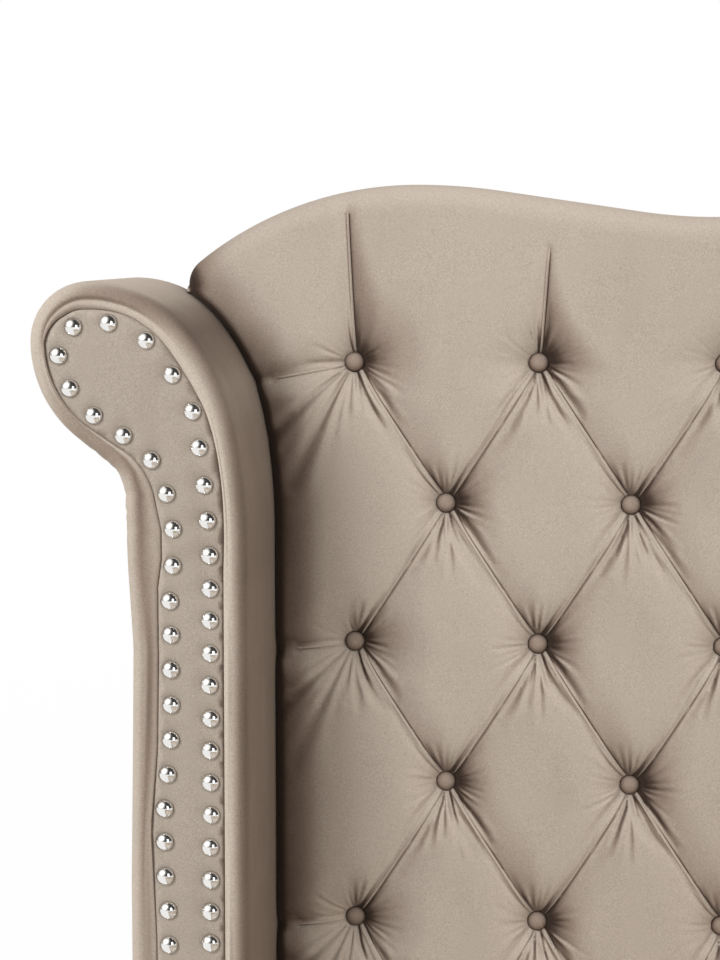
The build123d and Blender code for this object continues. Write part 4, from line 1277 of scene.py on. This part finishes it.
def slab(name, box, node, material, corner, roll, back_roll, crown, waves=0.5, step=22 * MM):
    """A padded upright slab: rolled front edge, small roll at the back, soft crown on its face."""
    low, high = box
    rng = np.random.default_rng(SEED + len(name))
    radii = (3 * MM, corner, corner, 3 * MM)
    ring = spread(round_rect((low.x, low.z), (high.x, high.z), radii, 8), 12 * MM)
    span = np.array((high.x - low.x, high.z - low.z)) / 2
    centre = np.array((high.x + low.x, high.z + low.z)) / 2
    gx, gz = np.meshgrid(
        np.arange(low.x + roll + step / 2, high.x - roll, step),
        np.arange(low.z + roll + step / 2, high.z - roll, step),
    )
    rows = inner_rows(ring, roll * np.array((0.04, 0.14, 0.3, 0.52, 0.76, 1.0)))
    seeds = np.concatenate([np.stack([gx.ravel(), gz.ravel()], 1), *rows])
    closed = np.vstack([ring, ring[:1]])
    folds = [
        (rng.uniform(2, 9), rng.uniform(4, 16), rng.uniform(0, 6), rng.uniform(0.3, 1))
        for _ in range(6)
    ]

    def relief(spots):
        depth = rolled(distance_to_path(spots, closed), roll)
        flat = np.abs((spots - centre) / span)
        depth += crown * np.maximum(flat[:, 0] ** 6, flat[:, 1] ** 3)
        for fast, tall, phase, size in folds:
            wave = np.sin(spots[:, 0] * fast + phase) * np.cos(spots[:, 1] * tall)
            depth += waves * MM * size * (1 + wave) / 2
        return low.y + depth

    vertices, faces = sheet_mesh(ring, seeds, relief, high.y, 5)
    vertices = np.array(vertices)
    back = vertices[:, 1] > high.y - 1e-6
    towards = centre - vertices[:, (0, 2)]
    towards /= np.linalg.norm(towards, axis=1)[:, None]
    vertices[back, 0] += towards[back, 0] * back_roll
    vertices[back, 2] += towards[back, 1] * back_roll * 0.5
    piece = new_piece(name, vertices, faces, material)
    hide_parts(node)
    return piece


def edge_border(material):
    """The covered strip round the headboard's edge, from one foot over the top to the other."""
    low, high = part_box("headboard_border")
    thick = (high.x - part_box("headboard_back_panel")[1].x) / MM
    front, back = low.y + 0.4 * MM, high.y
    section = [
        (0.2, front), (-0.5, front + 6 * MM), (-0.9, front + 20 * MM), (-0.9, (front + back) / 2),
        (-0.9, back - 20 * MM), (-0.4, back - 6 * MM), (0.6, back - 1.5 * MM), (2.4, back),
        (thick, back), (thick, front), (1.6, front - 0.2 * MM),
    ]
    loops = []
    for inset, y in section:
        half = np.array(top_outline(inset * MM))
        side_x = HEAD_HALF - inset * MM
        drop = [(side_x, z) for z in np.linspace(half[-1][1], low.z, 60)[1:]]
        half = np.vstack([half, drop])
        whole = np.vstack([(half * (-1, 1))[::-1], half[1:]])
        loops.append(np.column_stack([whole[:, 0], np.full(len(whole), y), whole[:, 1]]))
    vertices, faces = swept(np.array(loops).transpose(1, 0, 2), whole_ends=True)
    piece = new_piece("edge_border", vertices, faces, material)
    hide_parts("headboard_border")
    return piece


def tapes(material):
    """The two woven tapes that tie the slats, pulled down a little between them."""
    low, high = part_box("slat_tapes")
    slat_low, slat_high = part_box("slats")
    slat_count, half_slat, width, dip = 14, 36 * MM, 40 * MM, 3.2 * MM
    pitch = (slat_high.y - slat_low.y - 2 * half_slat) / (slat_count - 1)
    stations = np.linspace(low.y, high.y, 280)
    first = slat_low.y + half_slat
    off = np.abs(stations - first - np.round((stations - first) / pitch) * pitch)
    hang = np.clip((off - half_slat + 4 * MM) / (pitch / 2 - half_slat + 4 * MM), 0, 1)
    sag = dip * (1 - (1 - hang) ** 2)
    for side, hand in SIDES:
        middle = side * (high.x - width / 2)
        loops = []
        for y, drop in zip(stations, sag):
            top, under = high.z - drop, low.z - drop
            cup = 0.5 * MM if drop > 0.3 * MM else 0.0
            ring = [
                (-width / 2, under), (width / 2, under), (width / 2, top), (width / 4, top - cup),
                (0, top - cup * 1.3), (-width / 4, top - cup), (-width / 2, top),
            ]
            loops.append([(middle + x, y, z) for x, z in ring])
        vertices, faces = swept(np.array(loops), whole_ends=True)
        name = f"slat_tape_{hand}"
        piece = new_piece(name, vertices, faces, material, smooth=False)
        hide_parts("slat_tapes")


# Operators ------------------------------------------------------------------------------------

WEBBING = (0.78, 0.76, 0.70)


class BedSizes(bpy.types.PropertyGroup):
    """Sizes and colours of the bed's finishes."""

    velvet_colour: bpy.props.FloatVectorProperty(
        name="Velvet", description="Colour of the velvet", subtype="COLOR", size=3,
        default=(0.472, 0.413, 0.354), min=0, max=1,
    )
    nail_colour: bpy.props.FloatVectorProperty(
        name="Nails", description="Colour of the polished nails", subtype="COLOR", size=3,
        default=(0.86, 0.85, 0.83), min=0, max=1,
    )
    nail_radius: bpy.props.FloatProperty(
        name="Nail radius", description="Radius of a nail head", unit="LENGTH",
        default=9.9 * MM, min=2 * MM, max=20 * MM,
    )
    nail_rise: bpy.props.FloatProperty(
        name="Nail rise", description="Height of a nail head over the facing", unit="LENGTH",
        default=7.2 * MM, min=1 * MM, max=15 * MM,
    )
    button_radius: bpy.props.FloatProperty(
        name="Button radius", description="Radius of a covered button", unit="LENGTH",
        default=11.5 * MM, min=4 * MM, max=25 * MM,
    )
    button_rise: bpy.props.FloatProperty(
        name="Button rise", description="Height of a covered button", unit="LENGTH",
        default=7.5 * MM, min=2 * MM, max=20 * MM,
    )


def sizes():
    """The scene's own sizes and colours."""
    return bpy.context.scene.bed_sizes


class BED_OT_tufting(bpy.types.Operator):
    """Make the diamond-tufted pad of the headboard"""

    bl_idname = "bed.tufting"
    bl_label = "Tufted pad"

    def execute(self, context):
        make_tufting(sizes().velvet_colour)
        return {"FINISHED"}


class BED_OT_buttons(bpy.types.Operator):
    """Make the covered buttons that hold the tufts"""

    bl_idname = "bed.buttons"
    bl_label = "Buttons"

    def execute(self, context):
        s = sizes()
        seat = PAD_FRONT + BUTTON_SINK - 0.5 * MM
        points = [(x, seat, z) for row in button_grid() for x, z in row]
        # Painted shade: the buttons take a darker, browner copy of the velvet, painted darker still
        # at their sides
        shaded_button_tone = warm(s.velvet_colour, 0.70, 0.45)
        cloth = velvet("velvet_button", shaded_button_tone, (0.10, -0.7, 0.20), -0.10)
        tree = dome_tree("button_heads", cloth, s.button_radius, s.button_rise, 20, 12, 0.9 * MM)
        piece = grown("covered_buttons", points, tree, "bed")
        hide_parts("headboard_buttons")
        return {"FINISHED"}


class BED_OT_wings(bpy.types.Operator):
    """Make both wings' padded covers and their flat fronts"""

    bl_idname = "bed.wings"
    bl_label = "Wings"

    def execute(self, context):
        colour = sizes().velvet_colour
        for side, name in SIDES:
            # Painted shade and highlight by facing, mirrored for each wing
            painted_light_way = (0.40 * side, 0.0, 0.30)
            cover = velvet(f"velvet_wing_{name}", colour, painted_light_way, painted_light_attribute="pile_lean")
            # Painted shade: the facing is a darker copy of the velvet
            front = velvet(f"shaded_velvet_front_{name}", shade(colour, 0.81), (0.5 * side, 0.0, 0.5))
            wing_cover(side, cover)
            wing_facing(side, front)
        return {"FINISHED"}


class BED_OT_nails(bpy.types.Operator):
    """Make the rows of domed nails round the wings' fronts"""

    bl_idname = "bed.nails"
    bl_label = "Nails"

    def execute(self, context):
        s = sizes()
        steel = polished("polished_nails", s.nail_colour)
        tree = dome_tree("nail_heads", steel, s.nail_radius, s.nail_rise, 16, 10, 0.0)
        for side, name in SIDES:
            points = [(x, facing_low.y + 1 * MM, z) for x, z in nail_places(side)]
            piece = grown(f"nail_heads_{name}", points, tree, "bed")
            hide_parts(f"wing_nails_{name}")
        return {"FINISHED"}


class BED_OT_covers(bpy.types.Operator):
    """Make the padded covers of the rails, footboard, apron and headboard edge, and the tapes"""

    bl_idname = "bed.covers"
    bl_label = "Covers and tapes"

    def execute(self, context):
        # Painted shade and highlight: cloth facing up is paler, cloth facing down darker
        cloth = velvet("velvet_rails", sizes().velvet_colour, (0.0, -0.1, 0.45))
        for side, _ in SIDES:
            rail_cover(side, cloth)
        slab(
            "foot_padding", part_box("footboard_cover"), "footboard_cover", cloth,
            corner=22 * MM, roll=22 * MM, back_roll=5 * MM, crown=3 * MM,
        )
        slab(
            "apron_cover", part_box("headboard_apron"), "headboard_apron", cloth,
            corner=2 * MM, roll=4 * MM, back_roll=0.0, crown=0.0,
            waves=0.2, step=40 * MM,
        )
        edge_border(cloth)
        tapes(woven("webbing", WEBBING))
        return {"FINISHED"}


class BED_OT_finishes(bpy.types.Operator):
    """Give every carried-over piece of the frame its wood, steel, plastic or cloth"""

    bl_idname = "bed.finishes"
    bl_label = "Frame finishes"

    def execute(self, context):
        s = sizes()
        kinds = {
            # The plain velvet keeps the velvet's painted shade and highlight by facing
            "velvet": velvet("velvet_plain", s.velvet_colour),
            "polished_nails": polished("bright_nails", s.nail_colour),
            "birch_ply": timber("birch_slats", (0.72, 0.55, 0.36), 0, 0.8),
            "board": timber("raw_plywood", (0.55, 0.38, 0.22), 2, 0.7),
            "hardboard": timber("hardboard", (0.16, 0.10, 0.06), 2, 2.5, 0.7),
            "webbing": woven("webbing_plain", WEBBING),
            "dark_foot": timber("stained_foot", (0.045, 0.025, 0.018), 2, 1.5, 0.35),
            "black_plastic": moulded("black_plastic", (0.02, 0.02, 0.02)),
            "zinc_steel": plain_steel("zinc_steel", (0.60, 0.61, 0.63), 0.28),
        }
        pine = {axis: timber(f"pine_{axis}", (0.66, 0.46, 0.26), axis) for axis in (0, 1, 2)}
        slots = {r["node"]: r["material_slot"] for r in frame["record"]["subparts"]}
        for name, node in frame["nodes"].items():
            slot = slots[name]
            low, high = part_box(name)
            span = list(high - low)
            material = pine[span.index(max(span))] if slot == "pine" else kinds[slot]
            node.data.materials.clear()
            node.data.materials.append(material)
        return {"FINISHED"}


class BED_OT_stage(bpy.types.Operator):
    """Set the pale floor and backdrop, the lamps and the camera"""

    bl_idname = "bed.stage"
    bl_label = "Stage"

    def execute(self, context):
        make_stage()
        return {"FINISHED"}


def pale(name):
    """A pale floor finish that the camera and gloss see as white and that still takes a shadow."""
    f = Finish(name, Roughness=0.9)
    soil = f.noise(f.place(), 0.8, 3.0, 0.6)
    light, dark = (0.84, 0.84, 0.83, 1), (0.80, 0.80, 0.79, 1)
    f.set("Base Color", f.mix((soil * 0.2).clamped(), light, dark))
    seen = f.ray("Camera") + f.ray("Glossy") + f.ray("Transmission")
    glow = f.add("ShaderNodeEmission", None, {"Strength": 1.0, "Color": (1, 1, 1, 1)})
    from_bed = f.add("ShaderNodeVectorMath", {"operation": "LENGTH"}, {0: f.place()}, out="Value")
    far = ((from_bed - 2.5) / 4.0).clamped()
    share = (seen * (far * 0.03 + 0.97)).clamped()
    whole = f.blend(share, Value(f, f.shader.outputs[0]), glow)
    f.feed(f.nodes["Material Output"].inputs[0], whole)
    return f.material


def pale_room():
    """The world: even pale light, white to the camera, and a dim room with a window in gloss."""
    world = bpy.data.worlds.new("pale_room")
    world.use_nodes = True
    tree = Tree(world.node_tree)
    tree.nodes.clear()

    def background(colour, strength):
        return tree.add("ShaderNodeBackground", None, {"Color": colour, "Strength": strength})

    def between(*values):
        labels = ("Value", "From Min", "From Max", "To Min", "To Max")
        return tree.add("ShaderNodeMapRange", None, dict(zip(labels, values)))

    way = tree.add("ShaderNodeTexCoord", out="Generated")
    depth = tree.add("ShaderNodeSeparateXYZ", None, {0: way}, out="Y")
    towards = {0: way, 1: (-0.62, -0.62, 0.48)}
    window = tree.add("ShaderNodeVectorMath", {"operation": "DOT_PRODUCT"}, towards, out="Value")
    white = background((1, 1, 1, 1), 1.0)
    room = background((1, 0.97, 0.94, 1), between(window, 0.70, 0.93, 0.05, 1.3))
    in_gloss = tree.blend(between(depth, 0.15, -0.05), white, room)
    light = tree.blend(tree.ray("Glossy"), background((1, 0.955, 0.915, 1), 0.62), in_gloss)
    whole = tree.blend(tree.ray("Camera") + tree.ray("Transmission"), light, white)
    tree.add("ShaderNodeOutputWorld", None, {"Surface": whole})
    return world


def lamp(name, place, aim, size, watts):
    """A soft white rectangular lamp that looks at a point."""
    light = bpy.data.lights.new(name, "AREA")
    light.shape = "RECTANGLE"
    light.size, light.size_y = size
    light.energy = watts
    holder = shown(name, light)
    holder.location = place
    holder.rotation_euler = (Vector(aim) - Vector(place)).to_track_quat("-Z", "Y").to_euler()


def make_stage():
    """The floor, the world, two lamps and the camera at the photograph's angle."""
    scene = bpy.context.scene
    reach = 26
    turn = np.radians(np.arange(0, 360, 6))
    vertices = [(0, 0, 0)] + [(reach * math.cos(a), reach * math.sin(a), 0) for a in turn]
    faces = [(0, 1 + i, 1 + (i + 1) % len(turn)) for i in range(len(turn))]
    mesh = bpy.data.meshes.new("floor")
    mesh.from_pydata(vertices, [], faces)
    mesh.materials.append(pale("pale_stage"))
    floor = shown("floor", mesh)
    scene.world = pale_room()
    lamp("key_lamp", (-2.7, -2.1, 2.7), (-0.3, 0.9, 0.9), (1.4, 1.4), 85)
    lamp("fill_lamp", (1.6, -2.6, 1.6), (0.0, 0.6, 0.8), (1.4, 2.0), 22)

    focal_px, long_side = 1893.2, 960
    camera = bpy.data.cameras.new("camera")
    camera.sensor_width = 36.0
    camera.lens = focal_px / long_side * camera.sensor_width
    camera.shift_x = -0.08
    camera.shift_y = -0.15
    holder = shown("camera", camera)
    yaw, pitch = -0.0755, -0.0484
    across = math.cos(pitch)
    ahead = Vector((math.sin(yaw) * across, math.cos(yaw) * across, math.sin(pitch)))
    holder.location = Vector((-371.55, -1184.37, 1382.78)) * MM
    holder.rotation_mode = "QUATERNION"
    holder.rotation_quaternion = ahead.to_track_quat("-Z", "Y")
    scene.camera = holder
    scene.view_settings.view_transform = "Standard"


class BED_PT_panel(bpy.types.Panel):
    """The bed's pieces and sizes"""

    bl_label = "Tufted double bed"
    bl_idname = "BED_PT_panel"
    bl_space_type = "VIEW_3D"
    bl_region_type = "UI"
    bl_category = "Bed"

    def draw(self, context):
        for label in BedSizes.__annotations__:
            self.layout.prop(context.scene.bed_sizes, label)
        for operator in OPERATORS:
            self.layout.operator(operator.bl_idname)


OPERATORS = (
    BED_OT_finishes,
    BED_OT_tufting,
    BED_OT_buttons,
    BED_OT_wings,
    BED_OT_nails,
    BED_OT_covers,
    BED_OT_stage,
)
CLASSES = (BedSizes, *OPERATORS, BED_PT_panel)


def register():
    for cls in CLASSES:
        bpy.utils.register_class(cls)
    bpy.types.Scene.bed_sizes = bpy.props.PointerProperty(type=BedSizes)


def unregister():
    del bpy.types.Scene.bed_sizes
    for cls in reversed(CLASSES):
        bpy.utils.unregister_class(cls)


def main():
    """Makes every piece and the stage."""
    register()
    for operator in OPERATORS:
        group, name = operator.bl_idname.split(".")
        getattr(getattr(bpy.ops, group), name)()


if __name__ == "__main__":
    main()
